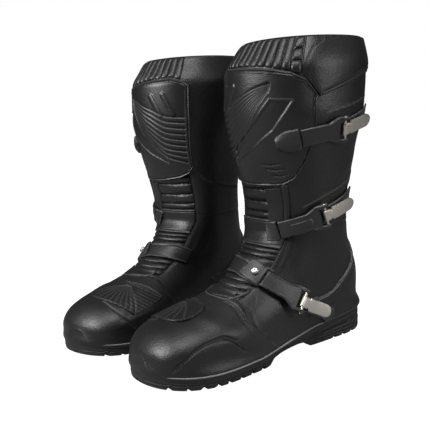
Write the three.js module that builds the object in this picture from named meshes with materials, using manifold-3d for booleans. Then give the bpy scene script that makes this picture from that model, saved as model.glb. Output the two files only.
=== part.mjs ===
// A pair of tall riding boots, three strap-and-lever buckles on the outer side of each.
// Millimetres, +Z up, toes towards -Y; the left boot stands at +X, the right is its mirror.
import * as THREE from 'three';
import Module from 'manifold-3d';

const wasm = await Module();
wasm.setup();

// ---------------------------------------------------------------- driving dimensions
const BOOT_HEIGHT = 345;        // floor to the back of the rim
const SOLE_LENGTH = 304;        // heel to toe of the outsole
const CALF_DEPTH = 169;         // front to back round the calf
const CALF_WIDTH = 138;         // side to side round the calf
const ANKLE_WIDTH = 98;         // side to side at the ankle
const FOOT_WIDTH = 102;         // side to side of the upper at the ball
const BOOT_SPACING = 180;       // between the two shaft axes
const TOE_IN = 8 * Math.PI / 180;
const SOLE_THICKNESS = 14;      // floor to the top of the welt at the ball
const HEEL_LIFT = 18;           // extra height of the welt at the heel
const TOE_SPRING = 8;           // rise of the sole at the toe
const ARCH_RISE = 5;            // extra height of the tread face under the arch
const WELT_THICKNESS = 5;
const LUG_DEPTH = 4.5;          // tread lugs below the sole slab
const LEATHER = 2.4;            // one leather panel
const OVERLAY = 2.0;            // guard, counter, pad and band lying on the leather
const LINING = 2.4;             // padded lining
const GAP = 0.7;                // clear space between two layers
const LINING_GAP = 1.6;         // clear space between the leather and the lining
const SEAM = 0.6;               // clear space between two panel edges
const RIM_PAD = 2.2;            // how far the padded collar stands proud
const RIB_DEPTH = 2.2;          // depth of the grooves between padded ribs
const GUSSET_RIBS = 9;          // horizontal ribs of the front gusset
const COLLAR_RIBS = 11;         // upright ribs of the front collar
const STRAP_THICKNESS = 2.4;
const STRAP_WIDTH = 19;
const FORK_WIDTH = 28;          // over the two ears of the strap fork
const EAR_WIDTH = 4;
const PIN_RADIUS = 1.5;
const PIN_CLEARANCE = 0.3;
const LEVER_LENGTH = 39;
const LEVER_WIDTH = 15;
const LEVER_THICKNESS = 2.2;
const LADDER_WIDTH = 17;
const LADDER_THICKNESS = 1.7;
const TOOTH_HEIGHT = 0.6;
const PLY_GAP = 0.4;            // clear space between strap, ladder and lever

const OUTER_LINING = -(LINING_GAP + LEATHER);
const INNER = OUTER_LINING - LINING;
const STACK = GAP + OVERLAY;    // top of anything lying on the leather
const RING = 30;                // facets round the leg

// ---------------------------------------------------------------- small helpers
const clamp = (x, a, b) => Math.min(b, Math.max(a, x));
const lerp = (a, b, s) => a + (b - a) * s;
const rad = (deg) => deg * Math.PI / 180;
const power = (x, e) => Math.sign(x) * Math.abs(x) ** e;
const table = (knots) => (x) => {
  for (let i = 1; i < knots.length; i += 1) {
    if (x <= knots[i][0]) {
      const s = (x - knots[i - 1][0]) / (knots[i][0] - knots[i - 1][0]);
      return lerp(knots[i - 1][1], knots[i][1], clamp(s, 0, 1));
    }
  }
  return knots[knots.length - 1][1];
};

// ---------------------------------------------------------------- shape of the last
// Rings run down the shaft, fan round the ankle and run on to the toe. Each ring goes through
// a front point and a back point of the profile: [front y, z, back y, z, outer and inner
// half width].
const kh = BOOT_HEIGHT / 345;
const kl = SOLE_LENGTH / 304;
const kd = CALF_DEPTH / 169;
const kc = CALF_WIDTH / 138;
const ka = ANKLE_WIDTH / 98;
const kf = FOOT_WIDTH / 102;
const ST = SOLE_THICKNESS;
const RINGS = [
  [-54 * kd, 342 * kh, 92 * kd, 345 * kh, 58 * kc, 58 * kc],        // rim
  [-75 * kd, 307 * kh, 92 * kd, 312 * kh, 69 * kc, 69 * kc],        // collar seam
  [-77 * kd, 270 * kh, 87 * kd, 269 * kh, 69 * kc, 69 * kc],        // upper calf
  [-71 * kd, 228 * kh, 77 * kd, 229 * kh, 61 * kc, 62 * kc],        // middle calf
  [-60 * kd, 188 * kh, 68 * kd, 190 * kh, 55 * kc, 57 * kc],        // foot of the shin guard
  [-54 * kd, 158 * kh, 62 * kd, 160 * kh, 51 * ka, 56 * ka],        // lower shaft
  [-54 * kd, 137 * kh, 63 * kd, 125 * kh, 49 * ka, 55 * ka],        // ankle
  [-68 * kd, 117 * kh, 75 * kd, 70 * kh, 46 * ka, 50 * ka],         // instep to heel
  [-94 * kl, 93 * kh, 63 * kd, ST + 8, 44 * ka, 46 * ka],           // heel seat
  [-128 * kl, 76 * kh, -20 * kl, ST + 3, 46 * kf, 45 * kf],         // arch
  [-169 * kl, 67, -110 * kl, ST - 5, 55 * kf, 51 * kf],             // ball
  [-202 * kl, 57, -170 * kl, ST - 4, 51 * kf, 48 * kf],             // toe box
  [-218 * kl, 44, -208 * kl, ST - 1, 36 * kf, 34 * kf],             // toe
  [-223 * kl, 36, -218 * kl, ST + 3, 16 * kf, 16 * kf],             // tip
];

// monotone cubic through one column of the ring table
function column(index) {
  const v = RINGS.map((r) => r[index]);
  const n = v.length;
  const d = v.slice(1).map((q, i) => q - v[i]);
  const m = v.map((q, i) => {
    if (i === 0) return d[0];
    if (i === n - 1) return d[n - 2];
    return d[i - 1] * d[i] <= 0 ? 0 : 2 * d[i - 1] * d[i] / (d[i - 1] + d[i]);
  });
  return (t) => {
    const i = Math.min(n - 2, Math.max(0, Math.floor(t)));
    const s = t - i;
    const s2 = s * s;
    const s3 = s2 * s;
    return (2 * s3 - 3 * s2 + 1) * v[i] + (s3 - 2 * s2 + s) * m[i]
      + (3 * s2 - 2 * s3) * v[i + 1] + (s3 - s2) * m[i + 1];
  };
}
const [frontY, frontZ, backY, backZ, outerW, innerW] = [0, 1, 2, 3, 4, 5].map(column);

// point of the smooth upper: t along the rings, angle 0 at the front, + on the outer side,
// d outwards from the leather face
function smooth(t, deg, d) {
  const a = rad(deg);
  const hy = (frontY(t) - backY(t)) / 2;
  const hz = (frontZ(t) - backZ(t)) / 2;
  const h = Math.hypot(hy, hz);
  const foot = clamp((t - 6.5) / 2, 0, 1);
  const c = Math.cos(a);
  const s = Math.sin(a);
  const ankle = Math.exp(-(((t - 5.6) / 1.7) ** 2));
  const front = s < 0 ? 2.15 + 0.9 * ankle : 2.15;
  const e = 2 / (c < 0 ? 2.2 + 1.6 * foot : front);
  const w = (s > 0 ? outerW(t) : innerW(t)) + d;
  const r = Math.max(1 + d / h, 0.2);
  const toe = clamp((t - 11.5) / 1.5, 0, 1);
  const cy = (frontY(t) + backY(t)) / 2 - toe * d;
  const cz = (frontZ(t) + backZ(t)) / 2;
  const k = power(c, e);
  return new THREE.Vector3(
    Math.max(w, 0.8) * power(s, e),
    cy + hy * r * k,
    cz + hz * r * k,
  );
}

// the same upper in flat facets, so that every layer follows the same chords
function faceted(t, deg, d) {
  const step = 360 / RING;
  const i = Math.floor(deg / step + 1e-9);
  const s = deg / step - i;
  const a = smooth(t, i * step, d);
  return s < 1e-6 ? a : a.lerp(smooth(t, (i + 1) * step, d), s);
}

// ---------------------------------------------------------------- shape of the sole
const SOLE_HALF = 57 * kf;
const HEEL_END = 78 * kl;
const TOE_END = -226 * kl;
const HEEL_ROUND = 50 * kl;
const TOE_ROUND = 76 * kl;
// half widths along the straight part, as shares of the widest half width
const outerShare = table([[-150, 1], [-140, 1], [-100, 0.95], [-60, 0.83], [-20, 0.74], [28, 0.76]]);
const innerShare = table([[-150, 0.94], [-140, 0.94], [-100, 0.86], [-60, 0.73], [-20, 0.67],
  [28, 0.74]]);
const LEVELS = [-226, -223.5, -218, -210, -200, -188, -174, -160, -145, -128, -110, -90, -70, -50,
  -30, -12, 2, 16, 28, 42, 54, 64, 71, 75.5, 78].map((y) => y * kl);

// half width of the sole at y, grown outwards by a margin
function solePlan(side, y, grow) {
  const share = side > 0 ? outerShare : innerShare;
  const straight = share(clamp(y / kl, -150, 28)) * SOLE_HALF + grow;
  const heel = (y - HEEL_END + HEEL_ROUND) / (HEEL_ROUND + grow);
  const toe = (TOE_END + TOE_ROUND - y) / (TOE_ROUND + grow);
  const s = clamp(Math.max(heel, toe, 0), 0, 1);
  const e = heel > 0 ? 2.6 : 2.3;
  return side * Math.max(straight * (1 - s ** e) ** (1 / e), 4);
}

function outline(grow) {
  const rows = LEVELS.map((y) => clamp(y, TOE_END - grow, HEEL_END + grow)).reverse();
  const outer = rows.map((y) => [solePlan(1, y, grow), y]);
  const inner = rows.map((y) => [solePlan(-1, y, grow), y]).reverse();
  const curve = new THREE.CatmullRomCurve3(
    outer.concat(inner).map(([x, y]) => new THREE.Vector3(x, y, 0)), true, 'centripetal');
  return curve.getSpacedPoints(34).slice(0, 34).map((p) => [p.x, p.y]);
}
const spring = (y) => TOE_SPRING * clamp((-y / kl - 140) / 86, 0, 1) ** 2;
// the welt climbs from the ball to the heel, steepest through the waist
const climb = table([[-110, 0], [-76, 0.18], [-50, 0.32], [-28, 0.45], [0, 0.6], [32, 0.78], [78, 1]]);
const weltTop = (y) => ST + HEEL_LIFT * climb(clamp(y / kl, -110, 78)) + spring(y);
const archRise = (y) => ARCH_RISE * Math.exp(-(((y / kl + 60) / 30) ** 4));

// ---------------------------------------------------------------- solid builders
// closed body from two facing grids of points; absent cells are left out, and the
// second direction may close on itself
function gridSolid(rows, cols, top, bottom, present = () => true, wrap = false) {
  const pts = [];
  const tris = [];
  const across = wrap ? cols : cols + 1;
  const id = (i, j, k) => (i * across + (wrap ? j % cols : j)) * 2 + k;
  for (let i = 0; i <= rows; i += 1) {
    for (let j = 0; j < across; j += 1) {
      pts.push(top(i, j), bottom(i, j));
    }
  }
  const has = (i, j) => {
    if (i < 0 || i >= rows) return false;
    if (!wrap && (j < 0 || j >= cols)) return false;
    return present(i, wrap ? (j + cols) % cols : j);
  };
  const quad = (a, b, c, d) => tris.push([a, b, c], [a, c, d]);
  for (let i = 0; i < rows; i += 1) {
    for (let j = 0; j < cols; j += 1) {
      if (has(i, j)) {
        quad(id(i, j, 0), id(i + 1, j, 0), id(i + 1, j + 1, 0), id(i, j + 1, 0));
        quad(id(i, j, 1), id(i, j + 1, 1), id(i + 1, j + 1, 1), id(i + 1, j, 1));
        if (!has(i - 1, j)) quad(id(i, j, 0), id(i, j + 1, 0), id(i, j + 1, 1), id(i, j, 1));
        if (!has(i + 1, j)) {
          quad(id(i + 1, j + 1, 0), id(i + 1, j, 0), id(i + 1, j, 1), id(i + 1, j + 1, 1));
        }
        if (!has(i, j - 1)) quad(id(i + 1, j, 0), id(i, j, 0), id(i, j, 1), id(i + 1, j, 1));
        if (!has(i, j + 1)) {
          quad(id(i, j + 1, 0), id(i + 1, j + 1, 0), id(i + 1, j + 1, 1), id(i, j + 1, 1));
        }
      }
    }
  }
  return fromTriangles(pts, tris);
}

function fromTriangles(pts, tris) {
  const used = new Map();
  const pos = [];
  const index = [];
  tris.forEach((tri) => tri.forEach((k) => {
    if (!used.has(k)) {
      used.set(k, pos.length / 3);
      pos.push(pts[k].x, pts[k].y, pts[k].z);
    }
    index.push(used.get(k));
  }));
  const g = new THREE.BufferGeometry();
  g.setAttribute('position', new THREE.Float32BufferAttribute(pos, 3));
  g.setIndex(index);
  return volume(g) < 0 ? flipped(g) : g;
}

function volume(g) {
  const p = g.attributes.position;
  const at = (k) => new THREE.Vector3().fromBufferAttribute(p, g.index.getX(k));
  let sum = 0;
  for (let k = 0; k < g.index.count; k += 3) {
    sum += at(k).dot(at(k + 1).cross(at(k + 2)));
  }
  return sum / 6;
}

function flipped(g) {
  const out = g.clone();
  const a = Array.from(out.index.array);
  for (let k = 0; k < a.length; k += 3) {
    [a[k], a[k + 1]] = [a[k + 1], a[k]];
  }
  out.setIndex(a);
  return out;
}

function toManifold(g) {
  return new wasm.Manifold(new wasm.Mesh({
    numProp: 3,
    vertProperties: new Float32Array(g.attributes.position.array),
    triVerts: new Uint32Array(g.index.array),
  }));
}

function fromManifold(m) {
  const mesh = m.getMesh();
  const g = new THREE.BufferGeometry();
  g.setAttribute('position', new THREE.Float32BufferAttribute(Array.from(mesh.vertProperties), 3));
  g.setIndex(Array.from(mesh.triVerts));
  return g;
}

const minus = (a, b) => fromManifold(toManifold(a).subtract(toManifold(b)));
const plus = (a, b) => fromManifold(toManifold(a).add(toManifold(b)));

// slab between two heights over a closed outline
function slab(plan, low, high) {
  const flat = plan.map(([x, y]) => new THREE.Vector2(x, y));
  const points = THREE.ShapeUtils.isClockWise(flat) ? flat.reverse() : flat;
  const n = points.length;
  const pts = points.flatMap((p) => [
    new THREE.Vector3(p.x, p.y, high(p.y)),
    new THREE.Vector3(p.x, p.y, low(p.y)),
  ]);
  const tris = [];
  for (let i = 0; i < n; i += 1) {
    const j = (i + 1) % n;
    tris.push([2 * i, 2 * i + 1, 2 * j + 1], [2 * i, 2 * j + 1, 2 * j]);
  }
  THREE.ShapeUtils.triangulateShape(points, []).forEach(([p, q, r]) => {
    tris.push([2 * p, 2 * q, 2 * r], [2 * r + 1, 2 * q + 1, 2 * p + 1]);
  });
  return fromTriangles(pts, tris);
}

// slab ruled from side to side, its two widths and heights given along y
function ruledSlab(ys, outer, inner, low, high) {
  const at = (i, j, z) => new THREE.Vector3(j ? outer(ys[i]) : inner(ys[i]), ys[i], z(ys[i]));
  return gridSolid(ys.length - 1, 1, (i, j) => at(i, j, high), (i, j) => at(i, j, low));
}
const soleSlab = (grow, low, high) => ruledSlab(
  LEVELS.map((y) => (y <= TOE_END ? y - grow : (y >= HEEL_END ? y + grow : y))),
  (y) => solePlan(1, y, grow), (y) => solePlan(-1, y, grow), low, high);

// panel of the upper: columns at the given angles, rows from one edge to the other
function panel(angles, rows, edge0, edge1, face, low, wrap = false, present = undefined) {
  const cols = wrap ? angles.length : angles.length - 1;
  const at = (i, j, d) => {
    const a = angles[j];
    const t = lerp(edge0(a), edge1(a), i / rows);
    return faceted(t, a, d(t, a, i, j));
  };
  return gridSolid(rows, cols, (i, j) => at(i, j, face), (i, j) => at(i, j, low), present, wrap);
}

const steps = (a, b, n) => Array.from({ length: n + 1 }, (_, i) => lerp(a, b, i / n));
const ringAngles = steps(0, 360 - 360 / RING, RING - 1);
const between = (a, b) => {
  const step = 360 / RING;
  const inner = steps(-360, 360, 2 * RING).filter((x) => x > a + 0.5 && x < b - 0.5);
  return [a, ...inner.filter((x) => Math.abs(x / step - Math.round(x / step)) < 1e-6), b];
};
const signed = (deg) => (deg > 180 ? deg - 360 : deg);

// everything of an upper that would reach below the top of the welt
const soleBlock = (() => {
  const ys = [-400 * kl, ...LEVELS, 300 * kl];
  return gridSolid(ys.length - 1, 1,
    (i, j) => new THREE.Vector3(j ? 200 : -200, ys[i], weltTop(ys[i]) + 0.35),
    (i, j) => new THREE.Vector3(j ? 200 : -200, ys[i], -60));
})();
const trimmed = (g) => minus(g, soleBlock);

// ---------------------------------------------------------------- materials
const material = (color, roughness, metalness = 0) => (
  () => new THREE.MeshStandardMaterial({ color, roughness, metalness })
);
const BLACK_LEATHER = material(0x19191a, 0.5);
const PADDED_LEATHER = material(0x1d1d1e, 0.45);
const GUARD_PLASTIC = material(0x1a1b1d, 0.38);
const STRAP_PLASTIC = material(0x222325, 0.42);
const SOLE_RUBBER = material(0x151515, 0.75);
const WELT_RUBBER = material(0x232323, 0.6);
const LINING_CLOTH = material(0x101010, 0.95);
const BOARD_FIBRE = material(0x4a3a2a, 0.9);
const POLISHED_STEEL = material(0xb9b6b0, 0.3, 1);

const pieces = [];
const piece = (name, geometry, finish, data = {}) => pieces.push({ name, geometry, finish, data });

// ---------------------------------------------------------------- sole unit
// rubber outsole: slab with toe spring and arch, and two rows of edge lugs
function outsole() {
  const base = (y) => Math.max(LUG_DEPTH + spring(y) + archRise(y), 0.5);
  let body = soleSlab(0, base, (y) => weltTop(y) - WELT_THICKNESS - 0.3);
  const edge = outline(-0.6);
  const inner = outline(-17);
  const n = edge.length;
  for (let i = 0; i < n; i += 1) {
    const j = (i + 1) % n;
    const y = (edge[i][1] + edge[j][1]) / 2;
    if (archRise(y) < 0.35 * ARCH_RISE) {
      const mix = (p, q, s) => [lerp(p[0], q[0], s), lerp(p[1], q[1], s)];
      const a = mix(edge[i], edge[j], 0.12);
      const b = mix(edge[i], edge[j], 0.88);
      const c = mix(inner[i], inner[j], 0.8);
      const d = mix(inner[i], inner[j], 0.2);
      body = plus(body, slab([a, b, c, d], spring, (q) => spring(q) + LUG_DEPTH + 2));
    }
  }
  return body;
}
piece('outsole', outsole(), SOLE_RUBBER);

// the welt and midsole that the upper is cemented to
piece('midsole', soleSlab(0.8, (y) => weltTop(y) - WELT_THICKNESS, weltTop), WELT_RUBBER);

// slab filling the plan of a layer of the upper where it passes a height above the welt
function footSlab(last, rise, d, low, high) {
  const plans = [1, -1].map((side) => {
    const knots = [];
    steps(7.9, 12.3, 44).filter((t) => t < last).forEach((t) => {
      const under = (a) => {
        const p = smooth(t, side * a, d);
        return p.z < weltTop(p.y) + rise;
      };
      if (under(180) && !under(80)) {
        let lo = 80;
        let hi = 180;
        for (let k = 0; k < 30; k += 1) {
          const mid = (lo + hi) / 2;
          if (under(mid)) hi = mid; else lo = mid;
        }
        const p = smooth(t, side * hi, d);
        knots.push([p.y, p.x]);
      }
    });
    return knots.sort((p, q) => p[0] - q[0]);
  });
  const from = Math.max(...plans.map((k) => k[0][0])) + 1;
  const to = Math.min(...plans.map((k) => k[k.length - 1][0])) - 1;
  const ys = [from, ...LEVELS.filter((y) => y > from + 1.5 && y < to - 1.5), to];
  return ruledSlab(ys, table(plans[0]), table(plans[1]), low, high);
}

// stiff board the upper is lasted onto, under the lining
piece('insole_board', footSlab(12.3, 2.2, -LEATHER - 3.2, (y) => weltTop(y) + 0.4,
  (y) => weltTop(y) + 2.2), BOARD_FIBRE);

// closed body through a stack of rings, each end closed by a fan
function ringStack(rings) {
  const n = rings[0].length;
  const pts = rings.flat();
  const tris = [];
  for (let i = 0; i + 1 < rings.length; i += 1) {
    for (let j = 0; j < n; j += 1) {
      const k = (j + 1) % n;
      tris.push([i * n + j, (i + 1) * n + j, (i + 1) * n + k], [i * n + j, (i + 1) * n + k, i * n + k]);
    }
  }
  [[0, 1], [rings.length - 1, -1]].forEach(([i, way]) => {
    const mid = rings[i].reduce((m, p) => m.add(p), new THREE.Vector3()).divideScalar(n);
    pts.push(mid);
    for (let j = 0; j < n; j += 1) {
      const k = (j + 1) % n;
      const tri = [i * n + j, i * n + k, pts.length - 1];
      tris.push(way > 0 ? tri : [tri[1], tri[0], tri[2]]);
    }
  });
  return fromTriangles(pts, tris);
}

// lining sock, open at the rim, flat under the foot, closed at the toe
function lining() {
  const half = [24, 48, 72, 96, 114, 128, 140, 158];
  const angles = [0, ...half, 180, ...half.map((a) => 360 - a).reverse()];
  const ts = [0.06, 0.75, 1.5, 2.4, 3.4, 4.4, 5.3, 6, 6.6, 7.2, 7.8, 8.3, 8.8, 9.1, 9.4, 9.7, 10, 10.5, 11.1,
    11.7];
  const rings = (d, rise, lift) => ts.map((t, i) => angles.map((a) => {
    const p = smooth(t, a, d);
    p.z = Math.max(p.z, weltTop(p.y) + rise) + (i === 0 ? lift : 0);
    return p;
  }));
  const outer = ringStack(rings(OUTER_LINING, 2.9, 0));
  const inner = rings(INNER, 2.9 + LINING, 12).slice(0, -1);
  return minus(outer, ringStack(inner));
}
piece('lining', lining(), LINING_CLOTH);

// cushioned footbed lying in the lining
piece('footbed', footSlab(10.8, 3.4 + LINING, INNER - 6.5, (y) => weltTop(y) + 4.1 + LINING,
  (y) => weltTop(y) + 7 + LINING), LINING_CLOTH);

// ---------------------------------------------------------------- leather upper
const LEATHER_FACE = () => 0;
const LEATHER_BACK = () => -LEATHER;
const SEAM_T = 0.02;            // half of a panel seam, in ring steps

// upper edge of the shin guard and lower edge of the front collar
const guardTop = table([[-48, 1.12], [-36, 0.86], [-24, 0.72], [0, 0.76], [24, 0.86], [36, 0.94],
  [48, 1.04], [60, 1.26], [70, 1.7]]);
const guardBottom = table([[-44, 3.55], [-36, 3.8], [-24, 3.92], [0, 4.02], [36, 4.02],
  [48, 3.86], [60, 3.42], [70, 2.75]]);
// lower edge of the padded collar round the back, rising from the guard to the back seam
const backCollar = table([[57.5, 1.14], [60, 1.2], [72, 1.74], [96, 1.46], [120, 1.16], [150, 1], [180, 0.92],
  [216, 0.88], [240, 0.86]]);
const FRONT_COLLAR = [-35, 56];
const BACK_COLLAR = [57.5, 238];
const FRONT_EDGE = 36;          // half width of the gusset in degrees
const GUSSET_TOP = 3.5;
const SHAFT_FOOT = 5.66;
const vampEdge = table([[0, 9], [24, 8.9], [40, 8.95], [69, 9.35], [110, 9.55], [180, 9.6]]);

// shaft leather: whole ring behind the guard, open at the front below it, running up to the
// rim on the inner side between the two padded collars
function shaft() {
  const collar = (deg) => {
    const a = signed(deg);
    if (a >= -FRONT_EDGE && a < 56) return guardTop(a) - 0.04;
    return a > 0 ? backCollar(deg) + 2 * SEAM_T : 0.92;
  };
  const angles = [...ringAngles, 56.8].sort((p, q) => p - q);
  const levels = [1.9, 2.6, GUSSET_TOP, 4.2, 4.9, SHAFT_FOOT];
  const t = (i, a) => {
    if (i < 2) return collar(a) * i / 2;
    return i < 5 ? lerp(collar(a), levels[0], (i - 2) / 3) : levels[i - 5];
  };
  const at = (i, j, d) => faceted(t(i, angles[j]), angles[j], d);
  const present = (i, j) => {
    const a = angles[j];
    if (i < 2) return a > 239 && a < 323;
    return i < 7 || (a >= FRONT_EDGE - 0.5 && a < 360 - FRONT_EDGE - 0.5);
  };
  return gridSolid(levels.length + 4, angles.length, (i, j) => at(i, j, 0),
    (i, j) => at(i, j, -LEATHER), present, true);
}
piece('shaft', shaft(), BLACK_LEATHER);

// padded collar at the front with upright ribs
function collarFront() {
  const n = COLLAR_RIBS * 2;
  const angles = [...steps(FRONT_COLLAR[0], 46, n), 49, 51, FRONT_COLLAR[1]];
  const face = (t, a, i, j) => (j < n && j % 2 === 0 ? RIM_PAD - RIB_DEPTH : RIM_PAD);
  return panel(angles, 2, () => 0, (a) => guardTop(a) - 0.04 - 2 * SEAM_T, face, LEATHER_BACK);
}
piece('collar_front', collarFront(), PADDED_LEATHER);

// smooth padded collar round the back, softly rounded at its lower edge
function collarBack() {
  const face = (t, a, i) => (i === 3 ? 0.3 : RIM_PAD);
  return panel(between(...BACK_COLLAR), 3, () => 0, backCollar, face, LEATHER_BACK);
}
piece('collar_back', collarBack(), PADDED_LEATHER);

// front gusset: ribs across the shin and instep, a plain band at the ankle
const BAND = [5.5, 6.62];
function bellows() {
  const rows = GUSSET_RIBS * 2 + 4;
  const angles = between(-FRONT_EDGE + 0.7, FRONT_EDGE - 0.7);
  const face = (t) => {
    if (t > BAND[0] && t < BAND[1]) return 1.2;
    const phase = (t - GUSSET_TOP) * GUSSET_RIBS / (8.9 - GUSSET_TOP) * 1.25;
    return -RIB_DEPTH * 0.55 * (1 - Math.abs(Math.sin(Math.PI * phase)));
  };
  return panel(angles, rows, () => GUSSET_TOP + 2 * SEAM_T, (a) => vampEdge(Math.abs(a)) - 2 * SEAM_T,
    face, LEATHER_BACK);
}
piece('bellows', bellows(), PADDED_LEATHER);

// quarter: both sides and the back of the ankle, down to the welt
const HEEL_LEVELS = [6.15, 6.5, 6.9, 7.35, 7.8, 8.2, 8.5, 8.75];
function quarter() {
  const angles = between(FRONT_EDGE, 360 - FRONT_EDGE);
  const foot = (a) => vampEdge(Math.abs(signed(a))) - 2 * SEAM_T;
  const t = (i, a) => [SHAFT_FOOT + 2 * SEAM_T, ...HEEL_LEVELS, foot(a)][i];
  const at = (i, j, d) => faceted(t(i, angles[j]), angles[j], d);
  return trimmed(gridSolid(HEEL_LEVELS.length + 1, angles.length - 1, (i, j) => at(i, j, 0),
    (i, j) => at(i, j, -LEATHER)));
}
piece('quarter', quarter(), BLACK_LEATHER);

// vamp: the foot in front of the quarter, closed round the toe
function vamp() {
  const top = (a) => vampEdge(Math.abs(signed(a)));
  const whole = panel(ringAngles, 8, top, () => 13, LEATHER_FACE,
    (t) => -LEATHER * (t > 12.9 ? 0.5 : 1), true);
  return trimmed(whole);
}
piece('vamp', vamp(), BLACK_LEATHER);

const COUNTER_TOP = STACK + 1.9;
// heel counter lying over the quarter, its front edge sweeping down to the welt
function heelCounter() {
  const front = table([[6.15, 166], [6.5, 142], [6.9, 119], [7.35, 101], [7.8, 92], [8.2, 88],
    [8.5, 92], [8.75, 104]]);
  const ts = HEEL_LEVELS;
  const n = 12;
  const at = (i, j, d) => {
    const a = front(ts[i]);
    return faceted(ts[i], lerp(a, 360 - a, j / n), d);
  };
  const whole = gridSolid(ts.length - 1, n, (i, j) => at(i, j, COUNTER_TOP),
    (i, j) => at(i, j, COUNTER_TOP - OVERLAY));
  return trimmed(whole);
}
piece('heel_counter', heelCounter(), BLACK_LEATHER);

// moulded shin guard over the front of the shaft
function shinGuard() {
  const angles = between(-44, 70);
  return panel(angles, 8, guardTop, guardBottom, () => STACK, () => GAP);
}
piece('shin_guard', shinGuard(), GUARD_PLASTIC);

// pad where the gear lever rubs, and the leather band across the instep
function shiftPad() {
  const angles = between(-70, 23);
  return panel(angles, 4, (a) => 9.42 + 0.0016 * Math.abs(a), (a) => 10.55 - 0.008 * Math.max(a, 0),
    () => STACK, () => GAP);
}
piece('shift_pad', shiftPad(), BLACK_LEATHER);

function instepBand() {
  const up = table([[-50, 7.45], [-24, 7.35], [36, 7.52], [44, 7.6]]);
  const down = table([[-50, 8], [-24, 7.98], [0, 8], [36, 8.24], [44, 8.2]]);
  return panel(between(-50, 42), 3, up, down, () => BAND_TOP, () => BAND_LOW);
}
const BAND_LOW = GAP;
const BAND_TOP = STACK;
piece('instep_band', instepBand(), BLACK_LEATHER);

// ---------------------------------------------------------------- buckles
const STRAP_LOW = STACK + PLY_GAP;
const STRAP_TOP = STRAP_LOW + STRAP_THICKNESS;
const PIN_HEIGHT = STRAP_LOW + 3.3;
const EAR_TOP = PIN_HEIGHT + 2.6;
const NOSE = 0.9;               // strap ahead of its own pivot
const ROOT_GAP = 1.1;           // anchor to strap

// path of one buckle over the leather: pivot, pin and tail as [t, degrees]; u runs along it in
// millimetres from the pivot, v across it, h off the leather
function buckleFrame(pivot, pin, tail, lift) {
  const point = (s) => {
    const [p, q, f] = s < 1 ? [pivot, pin, s] : [pin, tail, s - 1];
    return smooth(lerp(p[0], q[0], f), lerp(p[1], q[1], f), 0);
  };
  const normal = (s) => {
    const [p, q, f] = s < 1 ? [pivot, pin, s] : [pin, tail, s - 1];
    const t = lerp(p[0], q[0], f);
    const a = lerp(p[1], q[1], f);
    const du = smooth(t + 0.02, a, 0).sub(smooth(t - 0.02, a, 0));
    const dv = smooth(t, a + 1, 0).sub(smooth(t, a - 1, 0));
    const n = du.cross(dv).normalize();
    const out = smooth(t, a, 1).sub(smooth(t, a, 0));
    return n.dot(out) < 0 ? n.negate() : n;
  };
  const samples = steps(-0.6, 2, 130);
  const lengths = [0];
  for (let k = 1; k < samples.length; k += 1) {
    lengths.push(lengths[k - 1] + point(samples[k]).distanceTo(point(samples[k - 1])));
  }
  const toLength = table(samples.map((s, k) => [s, lengths[k]]));
  const toParam = table(samples.map((s, k) => [lengths[k], s]));
  const zero = toLength(0);
  const toPin = toLength(1) - zero;
  const frame = (u) => {
    const s = toParam(zero + u);
    const n = normal(s);
    const along = point(s + 0.05).sub(point(s - 0.05)).normalize();
    const across = n.clone().cross(along).normalize();
    return { origin: point(s), along, across, n };
  };
  const at = (u, v, h) => {
    const f = frame(u);
    const rise = lerp(lift[0], lift[1], clamp(u / toPin, 0, 1));
    return f.origin.addScaledVector(f.across, v).addScaledVector(f.n, h + rise);
  };
  return { at, frame, pinAt: toPin, tailAt: toLength(2) - zero };
}

// round bar across the path, used for the pin and for its holes
function crossBar(path, u, h, radius, length, facets) {
  const f = path.frame(u);
  const axis = path.at(u, 0, h);
  const rings = [-length / 2, length / 2].map((v) => Array.from({ length: facets }, (_, k) => {
    const a = 2 * Math.PI * k / facets;
    return axis.clone().addScaledVector(f.across, v)
      .addScaledVector(f.along, radius * Math.cos(a))
      .addScaledVector(f.n, radius * Math.sin(a));
  }));
  return ringStack(rings);
}

function strap(path) {
  const u1 = path.pinAt;
  const us = [-NOSE, 3, ...steps(8, u1 - 15, 3), u1 - 9, u1 - 5, u1 - 2, u1 + 2, u1 + 4.5];
  const wide = table([[0, STRAP_WIDTH / 2], [u1 - 20, STRAP_WIDTH / 2], [u1 - 9, FORK_WIDTH / 2],
    [u1 + 9, FORK_WIDTH / 2]]);
  const notch = FORK_WIDTH / 2 - EAR_WIDTH;
  const v = (i, j) => {
    const w = wide(us[i]);
    return [-w, -Math.min(notch, w - 2), Math.min(notch, w - 2), w][j];
  };
  const top = table([[u1 - 9, STRAP_TOP], [u1 - 3.5, EAR_TOP], [u1 + 2.5, EAR_TOP],
    [u1 + 4.5, EAR_TOP - 1.6]]);
  const low = table([[u1 + 1, STRAP_LOW], [u1 + 4.5, STRAP_LOW + 1.4]]);
  const rows = us.length - 1;
  const middle = (i) => us[i] < u1 - 5.5;
  const height = (i, j) => (us[i] > u1 - 9.5 && us[i] < u1 - 5.5 ? STRAP_TOP : top(us[i]));
  const body = gridSolid(rows, 3, (i, j) => path.at(us[i], v(i, j), height(i, j)),
    (i, j) => path.at(us[i], v(i, j), low(us[i])), (i, j) => j !== 1 || middle(i));
  return minus(body, crossBar(path, u1, PIN_HEIGHT, PIN_RADIUS + PIN_CLEARANCE, 60, 12));
}

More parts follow.
